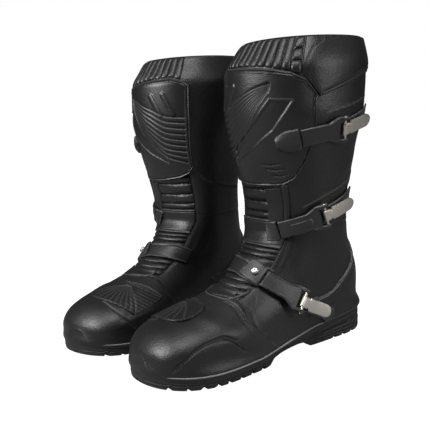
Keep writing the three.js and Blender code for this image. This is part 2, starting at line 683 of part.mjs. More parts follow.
function lever(path) {
  const u1 = path.pinAt;
  const us = [-2.5, 2.8, 5.6, 7.5, 14, 21, 28, LEVER_LENGTH - 6, LEVER_LENGTH - 2.2, LEVER_LENGTH];
  const half = table([[5.6, 6.2], [7.5, LEVER_WIDTH / 2], [LEVER_LENGTH - 6, LEVER_WIDTH / 2],
    [LEVER_LENGTH - 2.2, LEVER_WIDTH * 0.36], [LEVER_LENGTH, LEVER_WIDTH * 0.16]]);
  const rise = table([[8, 0], [22, 0.8], [LEVER_LENGTH, 4]]);
  const top = (u) => (u < 4 ? PIN_HEIGHT + 2.1 : PIN_HEIGHT + 1.4 + rise(u));
  const low = (u) => (u < 4 ? PIN_HEIGHT - 2.1 : PIN_HEIGHT + 1.4 - LEVER_THICKNESS + rise(u));
  const at = (i, j, h) => path.at(u1 + us[i], (j - 1) * half(us[i]), h);
  const body = gridSolid(us.length - 1, 2, (i, j) => at(i, j, top(us[i])),
    (i, j) => at(i, j, low(us[i])));
  return minus(body, crossBar(path, u1, PIN_HEIGHT, PIN_RADIUS + PIN_CLEARANCE, 40, 12));
}

function ladder(path) {
  const u0 = path.pinAt - 13;
  const teeth = 9;
  const pitch = 4.2;
  const us = [u0, u0 + 6];
  for (let k = 0; k < teeth; k += 1) {
    const u = u0 + 9 + k * pitch;
    us.push(u, u + 0.5, u + pitch - 1);
  }
  us.push(path.tailAt - 8, path.tailAt);
  const low = GAP * 0.6;
  const flat = low + LADDER_THICKNESS;
  const height = (i) => {
    const k = i - 2;
    return k >= 0 && k < teeth * 3 && k % 3 === 1 ? flat + TOOTH_HEIGHT : flat;
  };
  const half = (i) => LADDER_WIDTH / 2 * (i === 0 ? 0.75 : 1);
  return gridSolid(us.length - 1, 1, (i, j) => path.at(us[i], (2 * j - 1) * half(i), height(i)),
    (i, j) => path.at(us[i], (2 * j - 1) * half(i), low));
}

// anchor at the front end of a strap: a low plate, or a rounded hood
function anchor(path, length, width, height, nose) {
  const n = 6;
  const us = steps(-length, -NOSE - ROOT_GAP, n);
  const half = (i) => width / 2 * Math.sin(Math.acos(1 - Math.min(1, nose + i / n * 1.25)) || 0);
  const low = STACK + PLY_GAP;
  const top = (i, j) => {
    const crown = j === 0 || j === 4 ? 0.35 : 1;
    const along = Math.min(1, 0.45 + 0.75 * i / n);
    return low + 1.6 + (height - 1.6) * crown * along;
  };
  return gridSolid(n, 4, (i, j) => path.at(us[i], (j - 2) / 2 * half(i), top(i, j)),
    (i, j) => path.at(us[i], (j - 2) / 2 * half(i), low));
}

const BUCKLES = {
  top: { pivot: [2.76, 57], pin: [2.58, 93], tail: [2.1, 142], plate: [27, 24, 6.5, 0.35],
    lift: [0.1, 0.3] },
  mid: { pivot: [5.92, 29], pin: [5.28, 80], tail: [4.6, 138], plate: [16, 22, 2, 0.5],
    lift: [0.9, 0.9] },
  instep: { pivot: [7.95, 37], pin: [8.36, 81], tail: [8.5, 116], plate: [25, 24, 2.4, 0.4],
    lift: [0.9, COUNTER_TOP] },
};

Object.entries(BUCKLES).forEach(([name, b]) => {
  const path = buckleFrame(b.pivot, b.pin, b.tail, b.lift);
  const hinge = (u, h) => ({ at: path.at(u, 0, h), axis: path.frame(u).across });
  piece(`${name}_anchor`, anchor(path, ...b.plate), STRAP_PLASTIC);
  piece(`${name}_strap`, strap(path), STRAP_PLASTIC, {
    hinge: hinge(0, (STRAP_LOW + STRAP_TOP) / 2),
  });
  piece(`${name}_pin`, crossBar(path, path.pinAt, PIN_HEIGHT, PIN_RADIUS, FORK_WIDTH + 1, 12),
    POLISHED_STEEL);
  piece(`${name}_lever`, lever(path), POLISHED_STEEL, { hinge: hinge(path.pinAt, PIN_HEIGHT) });
  piece(`${name}_ladder`, ladder(path), STRAP_PLASTIC);
});

// ---------------------------------------------------------------- the pair
const group = new THREE.Group();
const mirror = new THREE.Matrix4().makeScale(-1, 1, 1);
const bounds = new THREE.Box3();
const stand = new THREE.Matrix4().makeTranslation(BOOT_SPACING / 2, 0, 0)
  .multiply(new THREE.Matrix4().makeRotationZ(-TOE_IN));

pieces.forEach(({ name, geometry, finish, data }) => {
  const left = geometry.clone().applyMatrix4(stand);
  const right = flipped(left.clone().applyMatrix4(mirror));
  [['left', left], ['right', right]].forEach(([side, g]) => {
    g.computeVertexNormals();
    const mesh = new THREE.Mesh(g, finish());
    mesh.name = `${side}_${name}`;
    if (data.hinge) {
      const at = data.hinge.at.clone().applyMatrix4(stand);
      const axis = data.hinge.axis.clone().transformDirection(stand);
      if (side === 'right') {
        at.x *= -1;
        axis.x *= -1;
      }
      mesh.userData.hinge = { at, axis };
    }
    group.add(mesh);
    bounds.expandByObject(mesh);
  });
});

const centre = bounds.getCenter(new THREE.Vector3());
const shift = new THREE.Vector3(-centre.x, -centre.y, -bounds.min.z);
group.children.forEach((mesh) => {
  mesh.geometry.translate(shift.x, shift.y, shift.z);
  if (mesh.userData.hinge) mesh.userData.hinge.at.add(shift);
});

export default group;
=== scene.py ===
import bpy
import math
import numpy as np
from mathutils import Matrix, Vector


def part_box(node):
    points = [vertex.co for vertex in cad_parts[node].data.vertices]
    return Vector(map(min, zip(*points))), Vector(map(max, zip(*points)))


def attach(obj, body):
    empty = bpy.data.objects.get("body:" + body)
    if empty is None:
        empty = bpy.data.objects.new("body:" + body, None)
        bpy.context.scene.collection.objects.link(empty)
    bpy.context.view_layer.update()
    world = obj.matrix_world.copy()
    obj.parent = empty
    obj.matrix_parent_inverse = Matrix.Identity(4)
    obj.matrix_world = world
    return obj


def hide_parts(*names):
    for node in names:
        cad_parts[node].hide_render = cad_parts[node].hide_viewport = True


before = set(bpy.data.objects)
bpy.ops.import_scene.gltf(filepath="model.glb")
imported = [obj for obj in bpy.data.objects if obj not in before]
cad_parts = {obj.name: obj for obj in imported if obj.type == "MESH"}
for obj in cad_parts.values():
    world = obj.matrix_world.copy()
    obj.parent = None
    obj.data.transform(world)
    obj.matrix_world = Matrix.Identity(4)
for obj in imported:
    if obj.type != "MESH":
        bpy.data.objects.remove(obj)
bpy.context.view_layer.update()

# ---------------------------------------------------------------- studio
# A pale sweep of paper, one large soft box in front and to the left, one overhead and a weak one
# behind, so that the black leather shows long soft highlights. The camera stands at knee height.
scene = bpy.context.scene
scene.view_settings.view_transform = "Standard"


def soft_box(name, place, target, size, power):
    lamp = bpy.data.lights.new(name, "AREA")
    lamp.shape = "RECTANGLE"
    lamp.size, lamp.size_y = size
    lamp.energy = power
    box = bpy.data.objects.new(name, lamp)
    box.location = place
    box.rotation_euler = (Vector(target) - Vector(place)).to_track_quat("-Z", "Y").to_euler()
    scene.collection.objects.link(box)


soft_box("front_box", (-0.35, -1.25, 1.05), (0.02, 0.0, 0.12), (0.8, 0.5), 30)
soft_box("top_box", (0.5, -0.35, 1.7), (0.05, 0.0, 0.15), (1.1, 0.7), 20)
soft_box("side_box", (1.5, 0.55, 0.75), (0.08, 0.05, 0.18), (0.5, 1.0), 9)

def add_node(tree, kind, values=(), **looks):
    """Adds a node to a tree, makes its settings, and gives values to the named sockets."""
    node = tree.nodes.new(kind)
    for name, value in looks.items():
        setattr(node, name, value)
    for socket, value in dict(values).items():
        node.inputs[socket].default_value = value
    return node


def join(tree, *wires):
    """Joins nodes: each wire is the giving node and socket, then the taking node and socket."""
    for giver, out, taker, into in wires:
        tree.links.new(giver.outputs[out], taker.inputs[into])


sky = bpy.data.worlds.new("studio")
scene.world = sky
sky.use_nodes = True
sky.node_tree.nodes.clear()
seen = add_node(sky.node_tree, "ShaderNodeBackground", {"Color": (1, 1, 1, 1), "Strength": 1.0})
fill = add_node(sky.node_tree, "ShaderNodeBackground", {"Color": (0.96, 0.98, 1, 1), "Strength": 0.05})
ray, choose, sky_out = (add_node(sky.node_tree, kind) for kind in (
    "ShaderNodeLightPath", "ShaderNodeMixShader", "ShaderNodeOutputWorld"))
join(sky.node_tree, (ray, "Is Camera Ray", choose, 0), (fill, 0, choose, 1), (seen, 0, choose, 2),
     (choose, 0, sky_out, "Surface"))

paper = bpy.data.materials.new("studio_paper")
paper.use_nodes = True
paper_shader = paper.node_tree.nodes["Principled BSDF"]
paper_shader.inputs["Roughness"].default_value = 0.9
paper_shader.inputs["Specular IOR Level"].default_value = 0.1
paper_shader.inputs["Emission Color"].default_value = (1, 1, 1, 1)
speck = add_node(paper.node_tree, "ShaderNodeTexNoise", {"Scale": 40})
shade = add_node(paper.node_tree, "ShaderNodeMix", {6: (0.28, 0.28, 0.28, 1), 7: (0.31, 0.31, 0.31, 1)},
                 data_type="RGBA")
paper_ray = add_node(paper.node_tree, "ShaderNodeLightPath")
join(paper.node_tree, (speck, 0, shade, 0), (shade, 2, paper_shader, "Base Color"),
     (paper_ray, "Is Camera Ray", paper_shader, "Emission Strength"))
sweep = bpy.data.meshes.new("floor_paper")
sweep.from_pydata([(-6, -6, 0), (6, -6, 0), (6, 6, 0), (-6, 6, 0)], [], [(0, 1, 2, 3)])
sweep.materials.append(paper)
floor = bpy.data.objects.new("floor_paper", sweep)
scene.collection.objects.link(floor)

# ---------------------------------------------------------------- soles
# Each boot stands on a moulded rubber outsole with tread lugs and a block heel, under a thin
# midsole whose top edge is a pale rand running right round the foot. Both are cemented.
SPACING = 180.0
TOE_IN = math.radians(8)
HEEL_END, TOE_END = 78.0, -226.0
HEEL_ROUND, TOE_ROUND = 50.0, 76.0
HEEL_POWER, TOE_POWER = 2.6, 2.3
SOLE_HALF = 57.0
SOLE_THICKNESS = 14.0
HEEL_LIFT, TOE_SPRING, ARCH_RISE, LUG_DEPTH = 18.0, 8.0, 5.0, 4.5
CLIMB = ([-110, -76, -50, -28, 0, 32, 78], [0, .18, .32, .45, .6, .78, 1])
OUTER_SHARE = ([-150, -140, -100, -60, -20, 28], [1, 1, .95, .83, .74, .76])
INNER_SHARE = ([-150, -140, -100, -60, -20, 28], [.94, .94, .86, .73, .67, .74])


def half_plan(side, y):
    """Half width of the sole in mm on its outer (1) or inner (-1) side."""
    straight = np.interp(y, *(OUTER_SHARE if side > 0 else INNER_SHARE)) * SOLE_HALF
    heel = np.clip((y - HEEL_END + HEEL_ROUND) / HEEL_ROUND, 0, 1)
    toe = np.clip((TOE_END + TOE_ROUND - y) / TOE_ROUND, 0, 1)
    round_heel = (1 - heel ** HEEL_POWER) ** (1 / HEEL_POWER)
    round_toe = (1 - toe ** TOE_POWER) ** (1 / TOE_POWER)
    return np.maximum(straight * np.minimum(round_heel, round_toe), 4)


def spring(y):
    return TOE_SPRING * np.clip((-y - 140) / 86, 0, 1) ** 2


def welt_top(y):
    return SOLE_THICKNESS + HEEL_LIFT * np.interp(y, *CLIMB) + spring(y)


def arch(y):
    return ARCH_RISE * np.exp(-((y + 60) / 30) ** 4)


plan_y = np.linspace(HEEL_END, TOE_END, 60)
plan_x = np.concatenate([half_plan(1, plan_y), -half_plan(-1, plan_y)])
plan_low = (-plan_x * math.sin(TOE_IN) + np.tile(plan_y, 2) * math.cos(TOE_IN)).min()
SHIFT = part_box("left_outsole")[0][1] * 1000 - plan_low


def stand(points):
    """Sets points of the left boot, in mm from its heel, on its place on the floor, in metres."""
    x, y, z = np.moveaxis(np.asarray(points, float), -1, 0)
    c, s = math.cos(TOE_IN), math.sin(TOE_IN)
    return np.stack([x * c + y * s + SPACING / 2, -x * s + y * c + SHIFT, z], -1) / 1000


MARKS = {"edge": 1, "trim": 1, "seam": 1, "along": 3}


def body(points, quads, **marks):
    """One closed shape: its points in mm, its quads, and what its finish reads at each point."""
    points = np.asarray(points, float).reshape(-1, 3)
    quads = np.asarray(quads).reshape(-1, 4)
    a, b, c, d = (points[quads[:, k]] for k in range(4))
    volume = (np.einsum("ij,ij->i", a, np.cross(b, c)) + np.einsum("ij,ij->i", a, np.cross(c, d))).sum()
    shape = {"points": points, "quads": quads[:, ::-1] if volume < 0 else quads, "finish": 0}
    for mark, size in MARKS.items():
        shape[mark] = np.reshape(marks.get(mark, np.zeros((len(points), size))), (-1, size))
    return shape


def shell(outer, inner, wrap=False, **marks):
    """The closed body between two grids of points, such as the two faces of a leather panel."""
    rows, cols = outer.shape[:2]
    n = rows * cols
    idx = np.arange(n).reshape(rows, cols)
    here = idx if wrap else idx[:, :-1]
    after = np.roll(idx, -1, 1) if wrap else idx[:, 1:]
    a, b, c, d = here[:-1], after[:-1], after[1:], here[1:]
    quads = [np.stack([a, b, c, d], -1).reshape(-1, 4), np.stack([a, d, c, b], -1).reshape(-1, 4) + n]
    rims_to_close = [(after[0], here[0]), (here[-1], after[-1])]
    if not wrap:
        rims_to_close += [(idx[:-1, 0], idx[1:, 0]), (idx[1:, -1], idx[:-1, -1])]
    for p, q in rims_to_close:
        quads.append(np.stack([p, q, q + n, p + n], -1))
    for mark, read in marks.items():
        read = np.reshape(read, (n, MARKS[mark]))
        marks[mark] = np.concatenate([read, read * (mark == "along")])
    return body(np.concatenate([outer.reshape(-1, 3), inner.reshape(-1, 3)]), np.concatenate(quads), **marks)


def loft(rings, **marks):
    """A closed body through rings of points, flat at its two ends."""
    rows, cols = rings.shape[:2]
    half = cols // 2
    idx = np.arange(rows * cols).reshape(rows, cols)
    after = np.roll(idx, -1, 1)
    quads = [np.stack([idx[:-1], after[:-1], after[1:], idx[1:]], -1).reshape(-1, 4)]
    for row, turn in ((idx[0], 1), (idx[-1], -1)):
        for k in range(half - 1):
            quad = [row[k], row[k + 1], row[cols - 2 - k], row[cols - 1 - k]]
            quads.append(np.array([quad[::-turn]]))
    return body(rings, np.concatenate(quads), **marks)


def boots(piece, shapes, finishes, rides="boot", stands_in=True, sharp=40):
    """Makes a piece for the left boot and its mirror image for the right one. It stands in for the
    solid of the same name."""
    start, points, quads, which = 0, [], [], []
    for shape in shapes:
        points.append(shape["points"])
        quads.append(shape["quads"] + start)
        which.append(np.full(len(shape["quads"]), shape["finish"]))
        start += len(shape["points"])
    left = stand(np.concatenate(points))
    quads = np.concatenate(quads)
    made = []
    for side in ("left", "right"):
        place, faces = left.copy(), quads
        if side == "right":
            place[:, 0] *= -1
            faces = quads[:, ::-1]
        mesh = bpy.data.meshes.new(f"{side}_{piece}")
        mesh.from_pydata(place.tolist(), [], [list(dict.fromkeys(face)) for face in faces.tolist()])
        for mark, size in MARKS.items():
            data = np.concatenate([shape[mark] for shape in shapes]).astype(np.float32).ravel()
            layer = mesh.attributes.new(mark, "FLOAT" if size == 1 else "FLOAT_VECTOR", "POINT")
            layer.data.foreach_set("value" if size == 1 else "vector", data)
        for finish in finishes:
            mesh.materials.append(finish)
        mesh.polygons.foreach_set("material_index", np.concatenate(which).astype(np.int32))
        mesh.polygons.foreach_set("use_smooth", np.ones(len(faces), bool))
        mesh.validate()
        mesh.set_sharp_from_angle(angle=math.radians(sharp))
        made_piece = bpy.data.objects.new(f"{side}_{piece}_made", mesh)
        scene.collection.objects.link(made_piece)
        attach(made_piece, f"{side}_{rides}")
        if stands_in:
            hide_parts(f"{side}_{piece}")
        made.append(made_piece)
    return made


def effect_group(name, ins, outs):
    """An empty node group with number sockets, and the two nodes at its ends."""
    tree = bpy.data.node_groups.new(name, "ShaderNodeTree")
    for way, labels in (("INPUT", ins), ("OUTPUT", outs)):
        for label in labels:
            tree.interface.new_socket(label, in_out=way, socket_type="NodeSocketFloat")
    return tree, tree.nodes.new("NodeGroupInput"), tree.nodes.new("NodeGroupOutput")


# fine moulded or tanned texture: a height for the bump and a slow mask for colour and gloss
FINE_TEXTURE, given, put = effect_group("fine_texture", ["Grain", "Crease"], ["Height", "Patch"])
place = add_node(FINE_TEXTURE, "ShaderNodeTexCoord")
cells = add_node(FINE_TEXTURE, "ShaderNodeTexVoronoi", {"Smoothness": 0.6}, feature="SMOOTH_F1")
folds = add_node(FINE_TEXTURE, "ShaderNodeTexNoise", {"Detail": 5, "Roughness": 0.65})
both = add_node(FINE_TEXTURE, "ShaderNodeMath", {1: 0.6}, operation="MULTIPLY_ADD")
patch = add_node(FINE_TEXTURE, "ShaderNodeTexNoise", {"Scale": 22, "Detail": 4})
join(FINE_TEXTURE, (place, "Object", cells, "Vector"), (given, "Grain", cells, "Scale"),
     (place, "Object", folds, "Vector"), (given, "Crease", folds, "Scale"), (cells, "Distance", both, 0),
     (folds, 0, both, 2), (place, "Object", patch, "Vector"), (both, 0, put, "Height"),
     (patch, 0, put, "Patch"))

# where handling has rubbed a raised edge pale, broken up by noise, and where a trim is pale
RUBBED_EDGE, given, put = effect_group("rubbed_edge", ["Wear"], ["Mask"])
rim = add_node(RUBBED_EDGE, "ShaderNodeAttribute", attribute_name="edge")
pale = add_node(RUBBED_EDGE, "ShaderNodeAttribute", attribute_name="trim")
place = add_node(RUBBED_EDGE, "ShaderNodeTexCoord")
breaks = add_node(RUBBED_EDGE, "ShaderNodeTexNoise", {"Scale": 160, "Detail": 3})
ramp = add_node(RUBBED_EDGE, "ShaderNodeMapRange", {"From Min": 0.38, "From Max": 0.62})
worn, scaled = (add_node(RUBBED_EDGE, "ShaderNodeMath", operation="MULTIPLY") for _ in range(2))
total = add_node(RUBBED_EDGE, "ShaderNodeMath", operation="ADD", use_clamp=True)
join(RUBBED_EDGE, (place, "Object", breaks, "Vector"), (breaks, 0, ramp, "Value"), (rim, "Fac", worn, 0),
     (ramp, 0, worn, 1), (worn, 0, scaled, 0), (given, "Wear", scaled, 1), (scaled, 0, total, 0),
     (pale, "Fac", total, 1), (total, 0, put, "Mask"))

# a faint pale tint on faces that look up, stronger the more they face up, broken up by noise
UPWARD_PALE_TINT, given, put = effect_group("upward_pale_tint", ["Amount"], ["Mask"])
look = add_node(UPWARD_PALE_TINT, "ShaderNodeNewGeometry")
split = add_node(UPWARD_PALE_TINT, "ShaderNodeSeparateXYZ")
place = add_node(UPWARD_PALE_TINT, "ShaderNodeTexCoord")
tint_noise = add_node(UPWARD_PALE_TINT, "ShaderNodeTexNoise", {"Scale": 420})
up, mask = (add_node(UPWARD_PALE_TINT, "ShaderNodeMath", operation="MULTIPLY", use_clamp=True) for _ in range(2))
join(UPWARD_PALE_TINT, (place, "Object", tint_noise, "Vector"), (look, "Normal", split, 0), (split, "Z", up, 0),
     (tint_noise, 0, up, 1), (up, 0, mask, 0), (given, "Amount", mask, 1), (mask, 0, put, "Mask"))


def surfaced(name, dark, light, pale, rough, grain, crease, bump, wear=0.5, spec=0.5):
    """A finish: two close tones in patches, pale rubbed edges and trim, a faint pale tint on faces that look
    up, grain in the bump.
    """
    made = bpy.data.materials.new(name)
    made.use_nodes = True
    tree = made.node_tree
    shader = tree.nodes["Principled BSDF"]
    shader.inputs["Specular IOR Level"].default_value = spec
    texture = add_node(tree, "ShaderNodeGroup", node_tree=FINE_TEXTURE)
    rub = add_node(tree, "ShaderNodeGroup", node_tree=RUBBED_EDGE)
    up_tint = add_node(tree, "ShaderNodeGroup", node_tree=UPWARD_PALE_TINT)
    for node, socket, value in ((texture, "Grain", grain), (texture, "Crease", crease), (rub, "Wear", wear),
                                (up_tint, "Amount", 0.03)):
        node.inputs[socket].default_value = value
    tone = add_node(tree, "ShaderNodeMix", {6: (*dark, 1), 7: (*light, 1)}, data_type="RGBA")
    worn = add_node(tree, "ShaderNodeMix", {7: (*pale, 1)}, data_type="RGBA")
    # this mix tints faces that look up slightly paler, by how far they face up
    up_tinted = add_node(tree, "ShaderNodeMix", {7: (0.12, 0.118, 0.11, 1)}, data_type="RGBA")
    gloss = add_node(tree, "ShaderNodeMapRange", {"To Min": rough - 0.07, "To Max": rough + 0.09})
    sunk = add_node(tree, "ShaderNodeAttribute", attribute_name="seam")
    dull = add_node(tree, "ShaderNodeMath", {1: 0.4}, operation="MULTIPLY_ADD")
    raised = add_node(tree, "ShaderNodeBump", {"Strength": bump, "Distance": 0.0006})
    join(tree, (texture, "Patch", tone, 0), (tone, 2, worn, 6), (rub, "Mask", worn, 0), (worn, 2, up_tinted, 6),
         (up_tint, "Mask", up_tinted, 0), (up_tinted, 2, shader, "Base Color"), (texture, "Patch", gloss, "Value"),
         (sunk, "Fac", dull, 0), (gloss, 0, dull, 2), (dull, 0, shader, "Roughness"),
         (texture, "Height", raised, "Height"), (raised, 0, shader, "Normal"))
    return made


def smoothly(a, b, x):
    u = np.clip((x - a) / (b - a), 0, 1)
    return u * u * (3 - 2 * u)


def ridge(x, wide):
    """1 at x = 0, falling off smoothly to nothing at about twice the width."""
    return np.exp(-(x / wide) ** 2)


def domed(x, power):
    """The height of a rounded pad: 1 in the middle and 0 where x is 1 or -1."""
    return np.sqrt(np.clip(1 - np.abs(x) ** power, 0, 1))


SOLE_RUBBER = surfaced("sole_rubber", (0.007, 0.007, 0.0073), (0.012, 0.012, 0.0125), (0.08, 0.08, 0.083),
                       0.62, 900, 220, 0.35, wear=0.45)
RAND_RUBBER = surfaced("rand_rubber", (0.007, 0.007, 0.0073), (0.012, 0.012, 0.0125), (0.22, 0.22, 0.225),
                       0.55, 900, 200, 0.2)

TOE_TURN, HEEL_TURN = TOE_END + TOE_ROUND, HEEL_END - HEEL_ROUND
toe_turn = TOE_TURN - TOE_ROUND * np.sin(np.linspace(0.5 * math.pi, 0.02, 46))
heel_turn = HEEL_TURN + HEEL_ROUND * np.sin(np.linspace(0.02, 0.5 * math.pi, 34))
sole_y = np.concatenate([toe_turn, np.arange(-149, 27.5, 1.5), heel_turn])


def sole_rings(points):
    """Rings of a sole. Each point is a share of the half width, an outward step and a height."""
    rings = np.zeros((len(sole_y), 2 * len(points), 3))
    for k, (share, grow, height) in enumerate(points):
        for place, side in ((k, 1), (2 * len(points) - 1 - k, -1)):
            x = half_plan(side, sole_y) * share + grow
            rings[:, place] = np.stack([side * x, sole_y, height], -1)
    return rings


LUG_PITCH = 15.0


def tread_gap(y):
    """1 in the grooves between the tread blocks, 0 on the blocks."""
    gap = 1 - smoothly(1.0, 1.7, np.abs((y + 8) % LUG_PITCH - LUG_PITCH / 2))
    return gap * ((y < -92) | (y > 0)) * (y > -212) * (y < 66)


def sole_low(y):
    return np.maximum(LUG_DEPTH + spring(y) + arch(y), 0.5)


def tread(y, share):
    lug = LUG_DEPTH * (1 - smoothly(0.1, 0.5, arch(y) / ARCH_RISE))
    across = np.clip(1 - np.abs(share - 0.5) * 6, 0, 1)
    cut = np.maximum(tread_gap(y + 6 * (1 - share)) * (0.55 if share > 0.95 else 1), 0.7 * across)
    return sole_low(y) - lug * (1 - cut)


points = [(share, 0, tread(sole_y, share)) for share in (0.02, 0.2, 0.4, 0.46, 0.5, 0.54, 0.6, 0.8, 0.94)]
for rise, depth, out in ((0.0, 2.6, -1.0), (0.06, 2.6, -0.3), (0.2, 2.4, 0), (0.34, 1.6, 0), (0.4, 0.2, 0),
                         (0.44, 0, 0.5), (0.5, 0, 0.5), (0.54, 0, -0.4), (0.62, 0, -0.4), (0.66, 0, 0.1),
                         (0.9, 0, 0.2), (1.0, 0, -0.2)):
    points.append((1.0, out - 0.55 * depth * tread_gap(sole_y),
                   tread(sole_y, 0.97) * (1 - rise) + (welt_top(sole_y) - 4.9) * rise))
points += [(share, 0, welt_top(sole_y) - 5.3) for share in (0.9, 0.5, 0.02)]
low_edge = np.zeros((len(sole_y), 2 * len(points)))
for k in (9, 10, 14, 15):
    low_edge[:, [k, 2 * len(points) - 1 - k]] = 0.7
outsole = [loft(sole_rings(points), edge=low_edge)]


def bar_on_wall(y0, z0, y1, z1, high=0.9, wide=0.75):
    """A raised straight rib moulded on the outer wall of the heel."""
    s = np.linspace(0, 1, 26)
    y, z = y0 + (y1 - y0) * s, z0 + (z1 - z0) * s
    corners = ((-1.2, -wide), (high, -wide * 0.5), (high, wide * 0.5), (-1.2, wide))
    ring = [np.stack([half_plan(1, y) + step, y, z + up], -1) for step, up in corners]
    return loft(np.stack(ring, 1), trim=np.tile([0, 0.5, 0.5, 0], 26))


# pointed rib pattern and two long mould lines on the outer side of the heel block
for ends in ((-14, 14.5, 52, 23.5), (52, 23.5, 34, 13.0), (34, 13.0, -4, 11.0), (60, 22, 44, 12),
             (-12, 7.6, 50, 8.2), (-16, 4.2, 54, 4.4)):
    outsole.append(bar_on_wall(*ends))
boots("outsole", outsole, [SOLE_RUBBER], sharp=35)

points = [(share, 0, welt_top(sole_y) - 5) for share in (0.02, 0.5, 0.95)]
for step, up in ((0.1, -5.0), (0.7, -4.6), (0.8, -2.4), (1.0, -1.9), (1.9, -1.5), (2.3, -0.7), (2.1, 0.1),
                 (1.3, 0.6), (0.3, 0.6), (-0.6, 0.2), (-1.4, 0)):
    points.append((1.0, step, welt_top(sole_y) + up))
points += [(share, 0, welt_top(sole_y)) for share in (0.9, 0.5, 0.02)]
rand = np.zeros((len(sole_y), 2 * len(points)))
for k, share in ((8, 0.7), (9, 1.0), (10, 0.9)):
    rand[:, [k, 2 * len(points) - 1 - k]] = share
boots("midsole", [loft(sole_rings(points), trim=rand)], [RAND_RUBBER])

# ---------------------------------------------------------------- lining, insole board and footbed
# A one-piece knitted spacer lining is sewn in at the rim and reaches down round the foot. Under it
# lie a pressed fibre board and a foam footbed, which the sole unit and the upper are lasted to.
RINGS = np.array([
    (-54, 342, 92, 345, 58, 58), (-75, 307, 92, 312, 69, 69), (-77, 270, 87, 269, 69, 69),
    (-71, 228, 77, 229, 61, 62), (-60, 188, 68, 190, 55, 57), (-54, 158, 62, 160, 51, 56),
    (-54, 137, 63, 125, 49, 55), (-68, 117, 75, 70, 46, 50), (-94, 93, 63, 22, 44, 46),
    (-128, 76, -20, 17, 46, 45), (-169, 67, -110, 9, 55, 51), (-202, 57, -170, 10, 51, 48),
    (-218, 44, -208, 13, 36, 34), (-223, 36, -218, 17, 16, 16)], float)


def track(values):
    slope = np.diff(values)
    lean = np.concatenate([slope[:1], np.zeros(len(values) - 2), slope[-1:]])
    bend = slope[:-1] * slope[1:]
    total = np.where(bend > 0, slope[:-1] + slope[1:], 1)
    lean[1:-1] = np.where(bend > 0, 2 * bend / total, 0)

    def read(t):
        i = np.clip(np.floor(t).astype(int), 0, len(values) - 2)
        u = t - i
        return ((2 * u ** 3 - 3 * u ** 2 + 1) * values[i] + (u ** 3 - 2 * u ** 2 + u) * lean[i]
                + (3 * u ** 2 - 2 * u ** 3) * values[i + 1] + (u ** 3 - u ** 2) * lean[i + 1])
    return read


TRACKS = [track(RINGS[:, k]) for k in range(6)]


def leg(t, deg, off=0.0):
    """A point on the boot: t runs from the rim to the toe tip, deg goes round from the front to the
    outer side, off is the height over the leather in mm."""
    t, deg, off = np.broadcast_arrays(*(np.asarray(v, float) for v in (t, deg, off)))
    fy, fz, by, bz, outer, inner = (read(t) for read in TRACKS)
    hy, hz = (fy - by) / 2, (fz - bz) / 2
    h = np.hypot(hy, hz)
    s, c = np.sin(np.radians(deg)), np.cos(np.radians(deg))
    foot, ankle = np.clip((t - 6.5) / 2, 0, 1), np.exp(-((t - 5.6) / 1.7) ** 2)
    e = 2 / np.where(c < 0, 2.2 + 1.6 * foot, 2.15 + np.where(s < 0, 0.9 * ankle, 0))
    w = np.maximum(np.where(s > 0, outer, inner) + off, 0.8)
    r = np.maximum(1 + off / h, 0.2)
    toe = np.clip((t - 11.5) / 1.5, 0, 1)
    k = np.sign(c) * np.abs(c) ** e
    return np.stack([w * np.sign(s) * np.abs(s) ** e, (fy + by) / 2 - toe * off + hy * r * k,
                     (fz + bz) / 2 + hz * r * k], -1)


def turned(x):
    return np.where(x > 180, x - 360, x)


def round_grid(t0, t1, rows, cols):
    t, deg = np.meshgrid(np.linspace(t0, t1, rows), np.linspace(0, 360, cols, endpoint=False), indexing="ij")
    return t, deg


LINING_CLOTH = surfaced("lining_cloth", (0.004, 0.004, 0.0042), (0.008, 0.008, 0.0085), (0.03, 0.03, 0.03),
                        0.9, 1500, 500, 0.8, wear=0, spec=0.2)
FOOTBED_FOAM = surfaced("footbed_foam", (0.012, 0.012, 0.013), (0.02, 0.02, 0.02), (0.05, 0.05, 0.05),
                        0.95, 1200, 400, 0.7, wear=0, spec=0.2)
PRESSED_BOARD = surfaced("pressed_board", (0.16, 0.11, 0.07), (0.22, 0.155, 0.1), (0.3, 0.22, 0.15),
                         0.9, 700, 300, 0.6, wear=0, spec=0.2)
t, deg = round_grid(-0.05, 9.2, 120, 120)
lift = 3.2 * (1 - smoothly(-0.05, 0.12, t))
boots("lining", [shell(leg(t, deg, -3.9 + lift), leg(t, deg, -6.4 + 0.6 * lift), wrap=True)], [LINING_CLOTH])
for side in ("left", "right"):
    for node, finish in (("insole_board", PRESSED_BOARD), ("footbed", FOOTBED_FOAM)):
        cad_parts[f"{side}_{node}"].data.materials.clear()
        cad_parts[f"{side}_{node}"].data.materials.append(finish)

# ---------------------------------------------------------------- shaft, quarters and vamp
# Full-grain black cowhide, cut in panels and stitched: a tube round the calf, the quarters round
# the ankle and heel, and the vamp, which laps over the quarters in a slanting double-sewn seam.
LEATHER_TONES = ((0.0035, 0.0035, 0.0037), (0.0075, 0.0075, 0.0078), (0.10, 0.10, 0.105))
BLACK_LEATHER = surfaced("black_leather", *LEATHER_TONES,
                         0.42, 620, 130, 0.42, wear=0.5)
THREAD = surfaced("waxed_thread", (0.03, 0.03, 0.032), (0.05, 0.05, 0.052), (0.1, 0.1, 0.1),
                  0.6, 1500, 600, 0.3, wear=0)


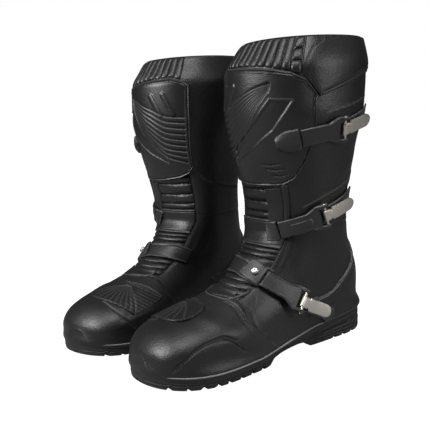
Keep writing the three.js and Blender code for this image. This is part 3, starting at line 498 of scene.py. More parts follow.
def line(knots, off=0.0, gap=0.5, soft=True):
    """Points along a line drawn on the leather through (t, deg) knots, about gap mm apart."""
    knots = np.array(knots, float)
    step = np.arange(len(knots))
    fine = np.linspace(0, len(knots) - 1, 60 * (len(knots) - 1) + 1)
    if soft and len(knots) > 2:
        t, deg = track(knots[:, 0])(fine), track(knots[:, 1])(fine)
    else:
        t, deg = np.interp(fine, step, knots[:, 0]), np.interp(fine, step, knots[:, 1])
    spot = leg(t, deg, off)
    run = np.concatenate([[0], np.cumsum(np.linalg.norm(np.diff(spot, axis=0), axis=1))])
    at = np.linspace(0, run[-1], max(2, int(run[-1] / gap)))
    t, deg = np.interp(at, run, t), np.interp(at, run, deg)
    return t, deg, leg(t, deg, off)


def gap_to(points, path, reach=9.0):
    """Distance in mm from each grid point to a line, no more than reach."""
    spots = points.reshape(-1, 3)
    best = np.full(len(spots), reach)
    near = np.all((spots > path.min(0) - reach) & (spots < path.max(0) + reach), axis=1)
    some = spots[near]
    if len(some):
        close = np.full(len(some), reach)
        for k in range(0, len(path), 48):
            step = np.linalg.norm(some[:, None] - path[None, k:k + 48], axis=2).min(1)
            close = np.minimum(close, step)
        best[near] = close
    return best.reshape(points.shape[:-1])


def rims(points, sides="tblr"):
    """Distance in mm from each grid point to the nearest of the named edges of its panel."""
    down = np.linalg.norm(np.diff(points, axis=0), axis=2)
    over = np.linalg.norm(np.diff(points, axis=1), axis=2)
    down = np.concatenate([np.zeros((1, points.shape[1])), np.cumsum(down, 0)])
    over = np.concatenate([np.zeros((points.shape[0], 1)), np.cumsum(over, 1)], 1)
    picks = {"t": down, "b": down[-1:] - down, "l": over, "r": over[:, -1:] - over}
    return np.min([picks[k] for k in sides], axis=0)


def rolled(gap, radius):
    """How far a rounded edge has dropped, gap mm in from the rim."""
    inset = np.clip(1 - gap / radius, 0, 1)
    return radius * (1 - np.sqrt(1 - inset ** 2))


def seated(points, grow):
    """Swells the lower edge of the upper out to the rand all round, and tucks it in below."""
    x, y, z = np.moveaxis(points, -1, 0)
    over = z - welt_top(y)
    grow = grow - 6.0 * smoothly(0.2, 2.5, -over)
    share = np.where(x > 0, np.interp(y, *OUTER_SHARE), np.interp(y, *INNER_SHARE)) * SOLE_HALF + grow
    toe = np.clip((TOE_TURN - y) / (TOE_ROUND + grow), 0, None)
    heel = np.clip((y - HEEL_TURN) / (HEEL_ROUND + grow), 0, None)
    e = np.where(heel > 0, HEEL_POWER, TOE_POWER)
    reach = ((np.abs(x) / share) ** e + np.maximum(toe, heel) ** e) ** (1 / e)
    weight = np.exp(-(np.clip(over - 1.0, 0, None) / 9.5) ** 2) * smoothly(0.6, 0.8, reach)
    stretch = 1 + weight * (1 / np.maximum(reach, 0.5) - 1)
    middle = np.clip(y, TOE_TURN, HEEL_TURN)
    return np.stack([x * stretch, middle + (y - middle) * stretch, z], -1)


class Panel:
    """A leather or plastic panel on the leg form, worked on as a height over the leather."""

    def __init__(self, t, deg, high, low, wrap=False, sides="tblr", roll=1.0):
        self.t, self.deg = t, deg
        self.high = high + 0 * t
        self.low = low + 0 * t
        self.wrap = wrap
        self.face = leg(t, deg, self.high)
        self.rim = rims(self.face, sides)
        self.edge = np.clip(1 - self.rim / 1.6, 0, 1)
        self.trim = 0 * t
        self.seam = 0 * t
        self.sits = None
        self.toe = False
        self.high = self.high - rolled(self.rim, roll)

    def gap(self, knots):
        """How far each point of the panel lies from a line."""
        return gap_to(self.face, line(knots, float(self.high.mean()))[2])

    def press(self, knots, depth, wide):
        """Presses a groove into the panel along a line."""
        gap = self.gap(knots)
        self.high = self.high - depth * ridge(gap, wide)
        self.seam = np.maximum(self.seam, ridge(gap, wide * 0.8))

    def bead(self, knots, high, wide, pale=0.0):
        """Raises a rounded bead on the panel along a line."""
        gap = self.gap(knots)
        self.high = self.high + high * domed(gap / wide, 2)
        self.trim = np.maximum(self.trim, pale * np.clip(1.3 - gap / wide, 0, 1))

    def shape(self):
        outer, inner = leg(self.t, self.deg, self.high), leg(self.t, self.deg, self.low)
        marks = {"edge": self.edge, "trim": self.trim, "seam": self.seam}
        if self.toe:
            turn = np.linspace(0, 0.5 * math.pi, 10)[1:, None, None]
            closed = []
            for face, bulge in ((outer, 1.2), (inner, 0.2)):
                tip = face[-1].mean(0)
                ahead_of = np.array([0, -bulge, 0]) * np.sin(turn)
                shrunk = tip + (face[-1] - tip) * (np.cos(turn) + 0.01)
                closed.append(np.concatenate([face, shrunk + ahead_of]))
            outer, inner = closed
            for mark, read in marks.items():
                marks[mark] = np.concatenate([read, np.repeat(read[-1:] * 0, 9, 0)])
        if self.sits is not None:
            outer, inner = seated(outer, self.sits), seated(inner, self.sits - 2.4)
        return shell(outer, inner, self.wrap, **marks)


def spread(deg0, deg1, cols, top, bottom, rows):
    """A (t, deg) grid between two edges, each given as t over the angle."""
    deg = np.linspace(deg0, deg1, cols)
    upper = np.array([top(a) for a in deg], float)
    lower = np.array([bottom(a) for a in deg], float)
    share = np.linspace(0, 1, rows)[:, None]
    return upper + (lower - upper) * share, np.broadcast_to(deg, (rows, cols))


def row_tree(name, unit_kind, unit_sizes):
    """Sets one small shape after another along a sewn or moulded line, standing on the surface."""
    tree = bpy.data.node_groups.new(name, "GeometryNodeTree")
    for label, kind in (("Geometry", "NodeSocketGeometry"), ("Pitch", "NodeSocketFloat"),
                        ("Size", "NodeSocketVector"), ("Finish", "NodeSocketMaterial")):
        tree.interface.new_socket(label, in_out="INPUT", socket_type=kind)
    tree.interface.new_socket("Geometry", in_out="OUTPUT", socket_type="NodeSocketGeometry")
    given, put, curve, dots, tangent, place, real, coat = (add_node(tree, kind) for kind in (
        "NodeGroupInput", "NodeGroupOutput", "GeometryNodeMeshToCurve", "GeometryNodeResampleCurve",
        "GeometryNodeInputTangent", "GeometryNodeInstanceOnPoints", "GeometryNodeRealizeInstances",
        "GeometryNodeSetMaterial"))
    dots.mode = "LENGTH"
    unit = add_node(tree, unit_kind, unit_sizes)
    up = add_node(tree, "GeometryNodeInputNamedAttribute", {"Name": "up"}, data_type="FLOAT_VECTOR")
    first = add_node(tree, "FunctionNodeAlignRotationToVector", axis="X")
    second = add_node(tree, "FunctionNodeAlignRotationToVector", axis="Z", pivot_axis="X")
    join(tree, (given, "Geometry", curve, "Mesh"), (curve, "Curve", dots, "Curve"),
         (given, "Pitch", dots, "Length"),
         (tangent, 0, first, "Vector"), (first, 0, second, "Rotation"), (up, "Attribute", second, "Vector"),
         (dots, "Curve", place, "Points"), (unit, "Mesh", place, "Instance"), (second, 0, place, "Rotation"),
         (given, "Size", place, "Scale"), (place, 0, real, 0), (real, 0, coat, "Geometry"),
         (given, "Finish", coat, "Material"), (coat, 0, put, "Geometry"))
    return tree


THREAD_ROW = row_tree("thread_row", "GeometryNodeMeshIcoSphere", {"Radius": 0.5})
TOOTH_ROW = row_tree("tooth_row", "GeometryNodeMeshCylinder", {"Vertices": 8, "Radius": 0.5, "Depth": 1.0})


def set_out(rows, tree, pitch, size, finish):
    """Runs a row tree over lines (points, ups) in mm and hands back the plain mesh as a body."""
    points, edges, ups, start = [], [], [], 0
    for spots, up in rows:
        points.append(spots)
        ups.append(up)
        edges.append(np.stack([np.arange(len(spots) - 1), np.arange(1, len(spots))], -1) + start)
        start += len(spots)
    mesh = bpy.data.meshes.new("row_guide")
    mesh.from_pydata(np.concatenate(points).tolist(), np.concatenate(edges).tolist(), [])
    layer = mesh.attributes.new("up", "FLOAT_VECTOR", "POINT")
    layer.data.foreach_set("vector", np.concatenate(ups).astype(np.float32).ravel())
    guide = bpy.data.objects.new("row_guide", mesh)
    scene.collection.objects.link(guide)
    rule = guide.modifiers.new("row", "NODES")
    rule.node_group = tree
    keys = {item.name: item.identifier for item in tree.interface.items_tree if item.in_out == "INPUT"}
    rule[keys["Pitch"]] = float(pitch)
    rule[keys["Size"]] = [float(v) for v in size]
    rule[keys["Finish"]] = finish
    grown = bpy.data.meshes.new_from_object(guide.evaluated_get(bpy.context.evaluated_depsgraph_get()))
    guide.modifiers.clear()
    bpy.data.objects.remove(guide)
    spots = np.empty(len(grown.vertices) * 3)
    grown.vertices.foreach_get("co", spots)
    faces = []
    for face in grown.polygons:
        corners = list(face.vertices)
        if len(corners) < 5:
            faces.append(corners + corners[-1:] * (4 - len(corners)))
            continue
        for k in range(1, len(corners) - 1, 2):
            faces.append([corners[0], corners[k], corners[k + 1], corners[min(k + 2, len(corners) - 1)]])
    bpy.data.meshes.remove(grown)
    return body(spots, faces)


def laid(knots, off, gap):
    """Points of a line on the boot, with the way up off the leather and the way to its side."""
    t, deg, spots = line(knots, off, gap)
    up = leg(t, deg, off + 1) - spots
    up /= np.linalg.norm(up, axis=1, keepdims=True)
    side = np.cross(up, np.gradient(spots, axis=0))
    side /= np.linalg.norm(side, axis=1, keepdims=True) + 1e-9
    return spots, up, side


def piping(knots, off, radius, pale):
    """A thin cord of piping lying along a line on the boot."""
    spots, up, side = laid(knots, off, 1.1)
    count = np.arange(len(spots))
    thin = np.minimum(1, 0.2 + np.minimum(count, count[::-1]) / 2.5)[:, None]
    turns = np.linspace(0, 2 * math.pi, 8, endpoint=False)
    rings = np.stack([spots + radius * thin * (math.cos(a) * side + math.sin(a) * up) for a in turns], 1)
    return loft(rings, trim=np.full(rings.shape[:2], pale))


thread_lines = []


def sew(knots, off=0.0, step=0.0):
    """Adds one row of stitches along a line on the boot, moved sideways by step mm."""
    spots, up, side = laid(knots, off, 1.2)
    thread_lines.append((seated(spots + side * step, 1.6), up))


def double_seam(panel, knots, gap=2.2, deep=0.55):
    """A lapped seam: a pressed line with a row of stitches on each side of it."""
    off = float(panel.high.mean())
    panel.press(knots, deep + 0.5, 1.0)
    for step in (-gap / 2, gap / 2):
        sew(knots, off - 0.05, step)


# the calf tube: a recess for the gusset runs down its front
t, deg = round_grid(-0.02, 5.72, 112, 186)
away = np.abs(turned(deg))
recess = smoothly(3.4, 3.6, t) * (1 - smoothly(34.5, 36.5, away))
outer_wave = 0.35 * np.sin(t * 9 + deg * 0.11) * smoothly(2, 4, t) * np.exp(-((deg - 150) / 55) ** 2)
calf = Panel(t, turned(deg), -3.0 * recess + 0.1, -2.4 - 1.0 * recess, True, "tb", 1.0)
calf.high = calf.high + outer_wave * 0.6
calf.bead([(2.16, 80), (2.02, 96), (1.8, 124), (1.74, 141)], 0.5, 1.0, pale=0.65)
calf.bead([(4.86, 57), (4.45, 88), (3.98, 128), (3.86, 141)], 0.5, 1.0, pale=0.65)
calf.bead([(2.16, 80), (2.6, 78), (2.9, 80)], 0.35, 0.8)
calf.press([(3.62, 37), (4.4, 39), (5.1, 40), (5.72, 41)], 0.7, 1.1)
double_seam(calf, [(3.75, -42), (4.1, -62), (4.4, -86), (4.55, -104), (4.6, -130)])
double_seam(calf, [(2.0, 178), (3.5, 181), (5.0, 180), (5.7, 180)], 3.0)
sew([(3.62, 38.5), (4.4, 40.5), (5.1, 41.5), (5.7, 42.5)], 0.1, step=1.2)
sew([(3.62, -38.5), (4.4, -38.5), (5.1, -38.5), (5.7, -38.5)], 0.1, step=-1.2)
for bow in range(5):
    top_t = 4.35 + 0.28 * bow
    calf.press([(top_t, 118), (top_t + 0.1, 150), (top_t - 0.02, 182), (top_t + 0.12, 215)], 0.45, 3.2)
shaft_parts = [calf.shape()]

# upright leather band beside the gusset with its rolled edge, sewn to the outer side of the shaft
t, deg = spread(12, 33, 36, lambda a: 4.13 - 0.003 * (a - 12), lambda a: 5.62, 70)
side_band = Panel(t, deg, 1.6 + 0.9 * np.sqrt(np.clip(1 - ((deg - 22) / 13) ** 2, 0, 1)), -1.2, roll=1.6)
side_band.press([(4.1, 14.2), (4.9, 14.2), (5.65, 14.2)], 0.5, 0.6)
shaft_parts.append(side_band.shape())
t, deg = spread(32.5, 40.5, 26, lambda a: 3.98, lambda a: 5.7, 70)
side_roll = 0.4 + 3.0 * np.sqrt(np.clip(1 - ((deg - 36.5) / 4.1) ** 2, 0, 1))
shaft_parts.append(Panel(t, deg, side_roll, -1.2, sides="tb", roll=2.4).shape())
boots("shaft", shaft_parts, [BLACK_LEATHER])

VAMP_EDGE = ([0, 24, 40, 69, 110, 180], [9.0, 8.9, 8.95, 9.35, 9.55, 9.6])


def vamp_edge(deg):
    return np.interp(np.abs(deg), *VAMP_EDGE)


# the quarters
share, deg = np.meshgrid(np.linspace(0, 1, 130), np.linspace(-180, 180, 190, endpoint=False), indexing="ij")
t = 5.66 + (vamp_edge(deg) + 0.25 - 5.66) * share
away = np.abs(deg)
recess = (1 - smoothly(34.5, 36.5, away)) * (1 - smoothly(8.75, 8.95, t))
foot_fold = 0.5 * np.exp(-((t - 7.3) / 0.5) ** 2) * np.sin(deg * 0.21) * (away > 50)
top_tuck = -0.5 * (1 - smoothly(5.66, 5.9, t))
quarters = Panel(t, deg, -3.0 * recess + top_tuck + foot_fold, -2.4 - 1.0 * recess, True, "t", 0.8)
quarters.sits = 1.0
quarters.press([(5.66, 40), (6.6, 42), (7.4, 44), (8.2, 46)], 0.8, 1.2)
quarters.press([(5.66, -38), (6.6, -38), (7.6, -38), (8.6, -37)], 0.6, 1.0)
double_seam(quarters, [(8.62, 46), (8.85, 54), (9.15, 63), (9.45, 84), (9.62, 99)], 2.6)
sew([(5.7, -41), (6.6, -41), (7.6, -41), (8.6, -40)], 0.0)
boots("quarter", [quarters.shape()], [BLACK_LEATHER])

# the vamp, lapped over the quarters
ring_deg = np.concatenate([np.linspace(-180, -125, 20, endpoint=False), np.linspace(-125, 125, 196),
                           np.linspace(125, 180, 21, endpoint=False)[1:]])
share, deg = np.meshgrid(np.linspace(0, 1, 142), ring_deg, indexing="ij")
t = vamp_edge(deg) + (13.0 - vamp_edge(deg)) * share ** 0.92
away = np.abs(deg)
lap = 1.3 * np.exp(-(np.clip(t - vamp_edge(deg), 0, 9) / 0.5) ** 2)
cap = smoothly(12.4, 13.2, t) * -0.6
bunch = 0.22 * np.exp(-((t - 9.9) / 0.55) ** 2) * np.sin(t * 9 + away * 0.02) * (away < 80)
vamp = Panel(t, deg, 0.15 + lap + bunch, -2.2, True, "t", 1.0)
vamp.high = vamp.high + cap
vamp.sits, vamp.toe = 1.5, True
for inset in (0.0, 0.07):
    seam_knots = [(9.07 + inset, 28), (9.12 + inset, 40), (9.42 + inset, 69), (9.62 + inset, 104)]
    vamp.press(seam_knots, 1.4, 1.0)
    sew(seam_knots, 0.95, step=1.6)
arch_seam = [(11.75, 97), (11.45, 90), (10.85, 75), (10.4, 71), (10.15, 72), (10.02, 84), (10.0, 98)]
double_seam(vamp, arch_seam, 2.6, deep=1.1)
vamp.press([(11.7, 92), (11.4, 86), (10.85, 71.5), (10.4, 67.5), (10.08, 69), (9.93, 84)], 1.2, 1.2)
for knots in ([(10.62, -14), (10.78, -40), (10.86, -70), (10.8, -98)],
              [(9.42, -4), (9.42, -30), (9.5, -58), (9.66, -76), (9.75, -98)]):
    double_seam(vamp, knots, 3.0, deep=0.8)
toe_edge = [(8.62, -27), (8.9, -23), (9.04, 0), (9.02, 22), (8.8, 31), (8.45, 35)]
boots("vamp", [vamp.shape(), piping(toe_edge, 1.2, 1.0, 0.35)], [BLACK_LEATHER])

# ---------------------------------------------------------------- heel counter
# A stiff moulded cup lies over the quarters round the heel. Its turned front edge curves down from
# behind the ankle to the rand, and shows as a thin pale line.
COUNTER_EDGE = ([6.15, 6.5, 6.9, 7.35, 7.8, 8.2, 8.5, 8.75], [166, 142, 119, 101, 92, 88, 92, 104])
share, spin = np.meshgrid(np.linspace(0, 1, 90), np.linspace(-1, 1, 130), indexing="ij")
t = 6.16 + (8.72 - 6.16) * share
reach = 180 - np.interp(t, *COUNTER_EDGE)
deg = 180 - spin * reach
counter = Panel(t, deg, 1.5 + 0.7 * np.sin(np.pi * share) ** 0.5, 0.0, sides="tlr", roll=1.4)
lip = np.exp(-((counter.rim - 0.8) / 0.8) ** 2)
counter.high = counter.high + 0.6 * lip
counter.trim = np.maximum(counter.trim, 0.75 * lip * (counter.rim < 2))
counter.sits = 2.6
counter.press([(t0, np.interp(t0, *COUNTER_EDGE) + 9) for t0 in (6.7, 7.1, 7.5, 7.9, 8.3, 8.6)], 0.3, 0.7)
counter_lip = [(t0, np.interp(t0, *COUNTER_EDGE) + 1.4) for t0 in (6.2, 6.5, 6.9, 7.2, 7.5, 7.8, 8.05, 8.3)]
boots("heel_counter", [counter.shape(), piping(counter_lip, 1.9, 0.75, 0.85)], [BLACK_LEATHER])

# ---------------------------------------------------------------- gusset, mid band and instep band
# Down the front runs a bellows of soft leather sewn in horizontal padded ribs, so that the ankle can
# bend. A plain band holds it at the ankle, and a slanting band at the instep.
SOFT_LEATHER = surfaced("soft_leather", *LEATHER_TONES,
                        0.40, 700, 160, 0.45, wear=0.4)
RIB_LINES = [3.52, 3.86, 4.15, 4.6, 5.05, 5.38, 6.2, 6.88, 7.08, 7.28, 7.62, 8.02, 8.26, 8.52, 8.74, 8.96]
t, deg = spread(-35.6, 35.6, 90, lambda a: 3.5, lambda a: vamp_edge(a) + 0.02, 270)
cell = np.clip(np.searchsorted(RIB_LINES, t, side="right") - 1, 0, len(RIB_LINES) - 2)
begin, finish_t = np.array(RIB_LINES)[cell], np.array(RIB_LINES)[cell + 1]
across = 2 * (t - begin) / (finish_t - begin) - 1
crown = np.sqrt(np.clip(1 - np.abs(across) ** 2.6, 0, 1))
side_fade = np.sqrt(np.clip(1 - (np.abs(deg) / 38) ** 6, 0, 1))
pucker = 0.28 * np.sin(deg * 0.9 + 2.1 * cell) * (1 - crown) + 0.2 * np.sin(deg * 0.23 + cell * 1.7) * crown
bellows = Panel(t, deg, -2.3 + (3.4 * crown + pucker) * side_fade, -3.3, sides="lr", roll=0.6)
gusset = [bellows.shape()]
t, deg = spread(-35.8, 36, 70, lambda a: 5.42, lambda a: 6.84, 70)
band_swell = 1.5 + 0.25 * np.sin(deg * 0.07) + 0.5 * np.sin(np.pi * (t - 5.42) / 1.42)
mid_band = Panel(t, deg, band_swell, -1.8, roll=1.3)
for bead_t in (5.46, 6.8):
    mid_band.bead([(bead_t, -35), (bead_t, 0), (bead_t, 35)], 0.5, 1.2, pale=0.22)
for groove_t in (5.56, 6.7):
    mid_band.press([(groove_t, -34), (groove_t, 0), (groove_t, 34)], 0.45, 0.6)
gusset.append(mid_band.shape())
t, deg = spread(-26, 27, 50, lambda a: 8.5 + 0.0001 * a * a, lambda a: 8.98 - 0.0002 * a * a, 40)
tongue = Panel(t, deg, 1.0 + 0.7 * np.sin(np.pi * 2 * (t - 8.5) / 0.5) ** 2, -1.8, roll=1.4)
gusset.append(tongue.shape())
for made in boots("bellows", gusset, [SOFT_LEATHER]):
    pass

BAND_TOP = ([-50, -24, 36, 44], [7.45, 7.35, 7.52, 7.6])
BAND_LOW = ([-50, -24, 0, 36, 44], [8.0, 7.98, 8.0, 8.24, 8.2])
t, deg = spread(-50, 42, 100, lambda a: np.interp(a, *BAND_TOP), lambda a: np.interp(a, *BAND_LOW), 60)
share = (t - t[:1]) / (t[-1:] - t[:1])
instep = Panel(t, deg, 3.0 + 0.5 * np.sin(np.pi * share), 0.3, roll=1.5)
upper_lip, lower_lip = np.exp(-((share - 0.07) / 0.05) ** 2), np.exp(-((share - 0.93) / 0.05) ** 2)
instep.high = instep.high + 0.5 * (upper_lip + lower_lip) - 0.4 * np.exp(-((share - 0.17) / 0.03) ** 2)
instep.trim = 0.25 * (upper_lip + lower_lip)
boots("instep_band", [instep.shape()], [BLACK_LEATHER])

# ---------------------------------------------------------------- shift pad
# An extra patch of leather on top of the toe takes the wear of the gear lever. It is sewn down round
# a rounded outer end, and years of pedal rubbing have pressed creases that fan out from one corner.
t, deg = spread(-70, 22.5, 130, lambda a: 9.44 + 0.0016 * abs(a), lambda a: 10.56 - 0.008 * max(a, 0), 90)
corner = np.clip((deg - 8) / 14.6, 0, 1)
middle = 10.0 + 0 * t
t = middle + (t - middle) * np.sqrt(1 - corner ** 2.4 * 0.93)
pad = Panel(t, deg, 2.2, 0.2, roll=1.3)
for a, b in ((-64, 10.45), (-56, 10.5), (-47, 10.52), (-38, 10.52), (-29, 10.5), (-20, 10.48), (-11, 10.46),
             (-2, 10.44), (7, 10.36), (15, 10.2)):
    pad.press([(9.62, -14 + 0.12 * a), (9.62 + 0.45 * (b - 9.62), -10 + 0.55 * (a + 10)), (b, a)], 0.75, 1.25)
for k in range(7):
    t0 = 9.66 + 0.12 * k
    pad.press([(t0, -34 - 2 * k), (t0 + 0.03, -50), (t0 + 0.02, -67)], 0.35, 0.9)
pad.high = pad.high + 0.45 * np.exp(-((pad.rim - 1.3) / 0.8) ** 2)
sew([(9.5, -66), (9.48, -30), (9.48, 8), (9.62, 17.5), (9.95, 20.3), (10.2, 18), (10.42, 9), (10.5, -10),
     (10.5, -40), (10.5, -66)], 2.2)
boots("shift_pad", [pad.shape()], [SOFT_LEATHER])

# ---------------------------------------------------------------- collars
# The rim is padded with foam: eleven upright sewn rolls and three small stacked cells in front, and
# a smooth pad behind with a curved sewn leading edge. The gathers are sewn straight to the shaft.
GUARD_TOP = ([-48, -36, -24, 0, 24, 36, 48, 60, 70], [1.12, .86, .72, .76, .86, .94, 1.04, 1.26, 1.7])
GUARD_LOW = ([-44, -36, -24, 0, 36, 48, 60, 70], [3.55, 3.8, 3.92, 4.02, 4.02, 3.86, 3.42, 2.75])
ROLLS = 11
t, deg = spread(-35, 47.5, 264, lambda a: -0.03, lambda a: np.interp(a, *GUARD_TOP) - 0.02, 60)
place_in = (deg + 35) / 82.5 * ROLLS
number = np.clip(np.floor(place_in), 0, ROLLS - 1)
across = 2 * (place_in - number) - 1
crown = np.sqrt(np.clip(1 - np.abs(across) ** 2.3, 0, 1))
depth = (t - t[:1]) / (t[-1:] - t[:1])
slump = 0.35 * np.sin(number * 2.3 + depth * 5) * crown
ends = np.sqrt(np.clip(1 - ((depth - 0.5) / 0.5) ** 6, 0, 1))
front_collar = Panel(t, deg, -0.6 + (3.5 * crown + slump) * ends, -2.6, sides="tb", roll=1.6)
t, deg = spread(47.6, 56.2, 40, lambda a: -0.02, lambda a: np.interp(a, *GUARD_TOP) - 0.02, 96)
depth = (t - t[:1]) / (t[-1:] - t[:1])
level = np.clip(np.floor(depth * 3 + 0.12 * (deg - 52) / 4.3), 0, 2)
across = 2 * (depth * 3 + 0.12 * (deg - 52) / 4.3 - level) - 1
crown = np.sqrt(np.clip(1 - np.abs(np.clip(across, -1, 1)) ** 2.6, 0, 1))
crown = crown * np.sqrt(np.clip(1 - np.abs((deg - 51.9) / 4.4) ** 4, 0, 1))
cells = Panel(t, deg, -0.6 + 3.4 * crown, -2.6, sides="tb", roll=1.6)
for made in boots("collar_front", [front_collar.shape(), cells.shape()], [SOFT_LEATHER]):
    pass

COLLAR_LOW = ([57.5, 60, 72, 96, 120, 150, 180, 216, 240], [1.14, 1.2, 1.74, 1.46, 1.2, 1, .92, .88, .86])
t, deg = spread(56.6, 238, 190, lambda a: -0.02, lambda a: np.interp(a, *COLLAR_LOW), 74)
swell = np.sqrt(np.clip(1 - np.clip(1 - (deg - 56) / 13, 0, 1) ** 2, 0, 1))
depth = (t - t[:1]) / (t[-1:] - t[:1])
pad_high = 0.3 + (2.6 * np.sqrt(np.clip(1 - ((depth - 0.46) / 0.58) ** 4, 0, 1))) * swell
pad_high = pad_high + 0.25 * np.sin(deg * 0.14 + 3 * depth) * depth
back_collar = Panel(t, deg, pad_high, -2.2, sides="tblr", roll=1.6)
for move in (0.0, 0.1):
    back_collar.press([(1.72 - move, 75), (1.55 - move, 88), (1.34 - move, 104), (1.14 - move, 123),
                       (0.98 - move, 150), (0.9 - move, 180), (0.86 - move, 215),
                        (0.84 - move, 236)], 0.7, 0.9)
    sew([(1.69 - move, 75), (1.5 - move, 90), (1.3 - move, 104), (1.1 - move, 123), (0.94 - move, 150),
         (0.86 - move, 180), (0.82 - move, 215), (0.8 - move, 236)], 2.4, step=0.9)
back_collar.press([(0.04, 73), (0.2, 71), (0.35, 64.5), (0.65, 61.2), (1.05, 59), (1.3, 61.5)], 0.6, 0.8)
sew([(0.06, 76), (0.22, 74), (0.37, 67.5), (0.65, 64.2), (1.05, 62), (1.3, 64)], 1.9)
for made in boots("collar_back", [back_collar.shape()], [SOFT_LEATHER]):
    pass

# ---------------------------------------------------------------- shin guard
# A moulded plate over the shin, skinned and sewn to the shaft. Its border is double piped. Its face
# has nine swept grooves, a recessed slanting panel, two short raised bars and three nicks.
GUARD_SKIN = surfaced("guard_skin", (0.0045, 0.0046, 0.0049), (0.0085, 0.0087, 0.0092), (0.09, 0.093, 0.105),
                      0.37, 760, 150, 0.28, wear=0.55)
t, deg = spread(-43.5, 69.5, 200, lambda a: np.interp(a, *GUARD_TOP), lambda a: np.interp(a, *GUARD_LOW), 156)
shoulder = smoothly(50, 66, deg) * (1 - smoothly(1.6, 2.5, t))
keel = 1.3 * np.exp(-((deg - 4) / 17) ** 2)
guard = Panel(t, deg, 3.2 + keel - 1.4 * shoulder, 0.2, roll=1.8)
border = guard.rim
guard.high = guard.high + 0.55 * ridge(border - 1.6, 0.75) + 0.45 * ridge(border - 4.4, 0.7)
guard.high = guard.high - 0.75 * np.exp(-((border - 3.0) / 0.6) ** 2)
guard.trim = 0.28 * np.exp(-((border - 1.5) / 0.7) ** 2)
SWEPT = [[(1.3, 30), (1.42, 18), (1.75, -3), (2.0, -20), (2.06, -38)],
         [(1.36, 30), (1.58, 17), (2.0, -1), (2.32, -19), (2.4, -38)],
         [(1.42, 30), (1.74, 16), (2.24, 1), (2.64, -18), (2.74, -38)],
         [(1.48, 29.5), (1.88, 16.5), (2.44, 3), (2.95, -16), (3.08, -38)],
         [(1.55, 29), (2.0, 18), (2.58, 6), (3.2, -14), (3.42, -37)]]
for k in range(9):
    above, under = SWEPT[k // 2], SWEPT[min(k // 2 + k % 2, 4)]
    knots = [(0.5 * (a + c), 0.5 * (b + d)) for (a, b), (c, d) in zip(above, under)]
    guard.press(knots, 1.5, 1.15)
    guard.bead([(a + 0.04, b) for a, b in knots], 0.5, 1.2, pale=0.12)
slant = [(1.75, 31), (1.8, 50), (2.1, 44), (2.55, 33), (3.45, -15),
         (3.0, -13), (2.62, 6), (2.3, 17), (1.75, 31)]
inside = np.zeros(t.shape, bool)
for (t0, a0), (t1, a1) in zip(slant[:-1], slant[1:]):
    crosses = (t0 > t) != (t1 > t)
    cut_at = a0 + (t - t0) * (a1 - a0) / (t1 - t0 if t1 != t0 else 1e-9)
    inside ^= crosses & (deg < cut_at)
gap = gap_to(guard.face, line(slant, 3.2, soft=False)[2])
guard.high = guard.high - np.where(inside, 1.15 * smoothly(0, 1.6, gap), 0)
guard.high = guard.high + 0.5 * np.exp(-((gap - 0.3) / 0.75) ** 2)
guard.trim = np.maximum(guard.trim, 0.2 * np.exp(-((gap - 0.3) / 0.7) ** 2))
for knots in ([(3.38, 16), (3.42, 26), (3.4, 36)], [(3.52, 22), (3.56, 31), (3.54, 41)],
              [(3.7, 27), (3.73, 34), (3.7, 42)]):
    guard.press(knots, 0.9, 0.9)
for knots in ([(1.3, -4), (1.62, -9), (1.94, -14)], [(1.28, -17), (1.62, -22), (1.94, -27)]):
    guard.bead(knots, 1.3, 3.4)
for knots in ([(1.0, 26), (1.0, 38), (1.12, 50)], [(3.92, -28), (3.98, 0), (3.95, 30)]):
    guard.press(knots, 0.5, 0.7)
rear = [(1.24, -41.5), (2.0, -41.2), (2.8, -41.2), (3.5, -41)]
sew(rear, 2.9)
sew([(a, b + 2.6) for a, b in rear], 3.3)
sew([(np.interp(a, *GUARD_LOW) - 0.1, a) for a in (-36, -12, 12, 36, 50)], 3.2)
boots("shin_guard", [guard.shape()], [GUARD_SKIN], sharp=55)

# ---------------------------------------------------------------- stitching
# All the seams of one boot are sewn with the same waxed thread, one stitch every three millimetres.
boots("stitching", [set_out(thread_lines, THREAD_ROW, 3.1, (2.3, 0.75, 0.55), THREAD)], [THREAD],
      stands_in=False)

# ---------------------------------------------------------------- buckles
# Three strap-and-lever buckles close each boot on its outer side: a moulded strap flexes from an
# anchor in front, its forked end carries a steel lever on a pin, and the lever's tab bites into the
# teeth of a ladder strap fixed to the leather behind.
MOULDED_STRAP = surfaced("moulded_strap", (0.011, 0.0112, 0.0118), (0.018, 0.0184, 0.0192),
                         (0.13, 0.133, 0.14),
                         0.40, 1100, 260, 0.22, wear=0.7)
LADDER_PLASTIC = surfaced("ladder_plastic", (0.022, 0.0225, 0.0235), (0.034, 0.0345, 0.0355),
                          (0.18, 0.18, 0.185),
                          0.46, 1100, 260, 0.2, wear=0.7)


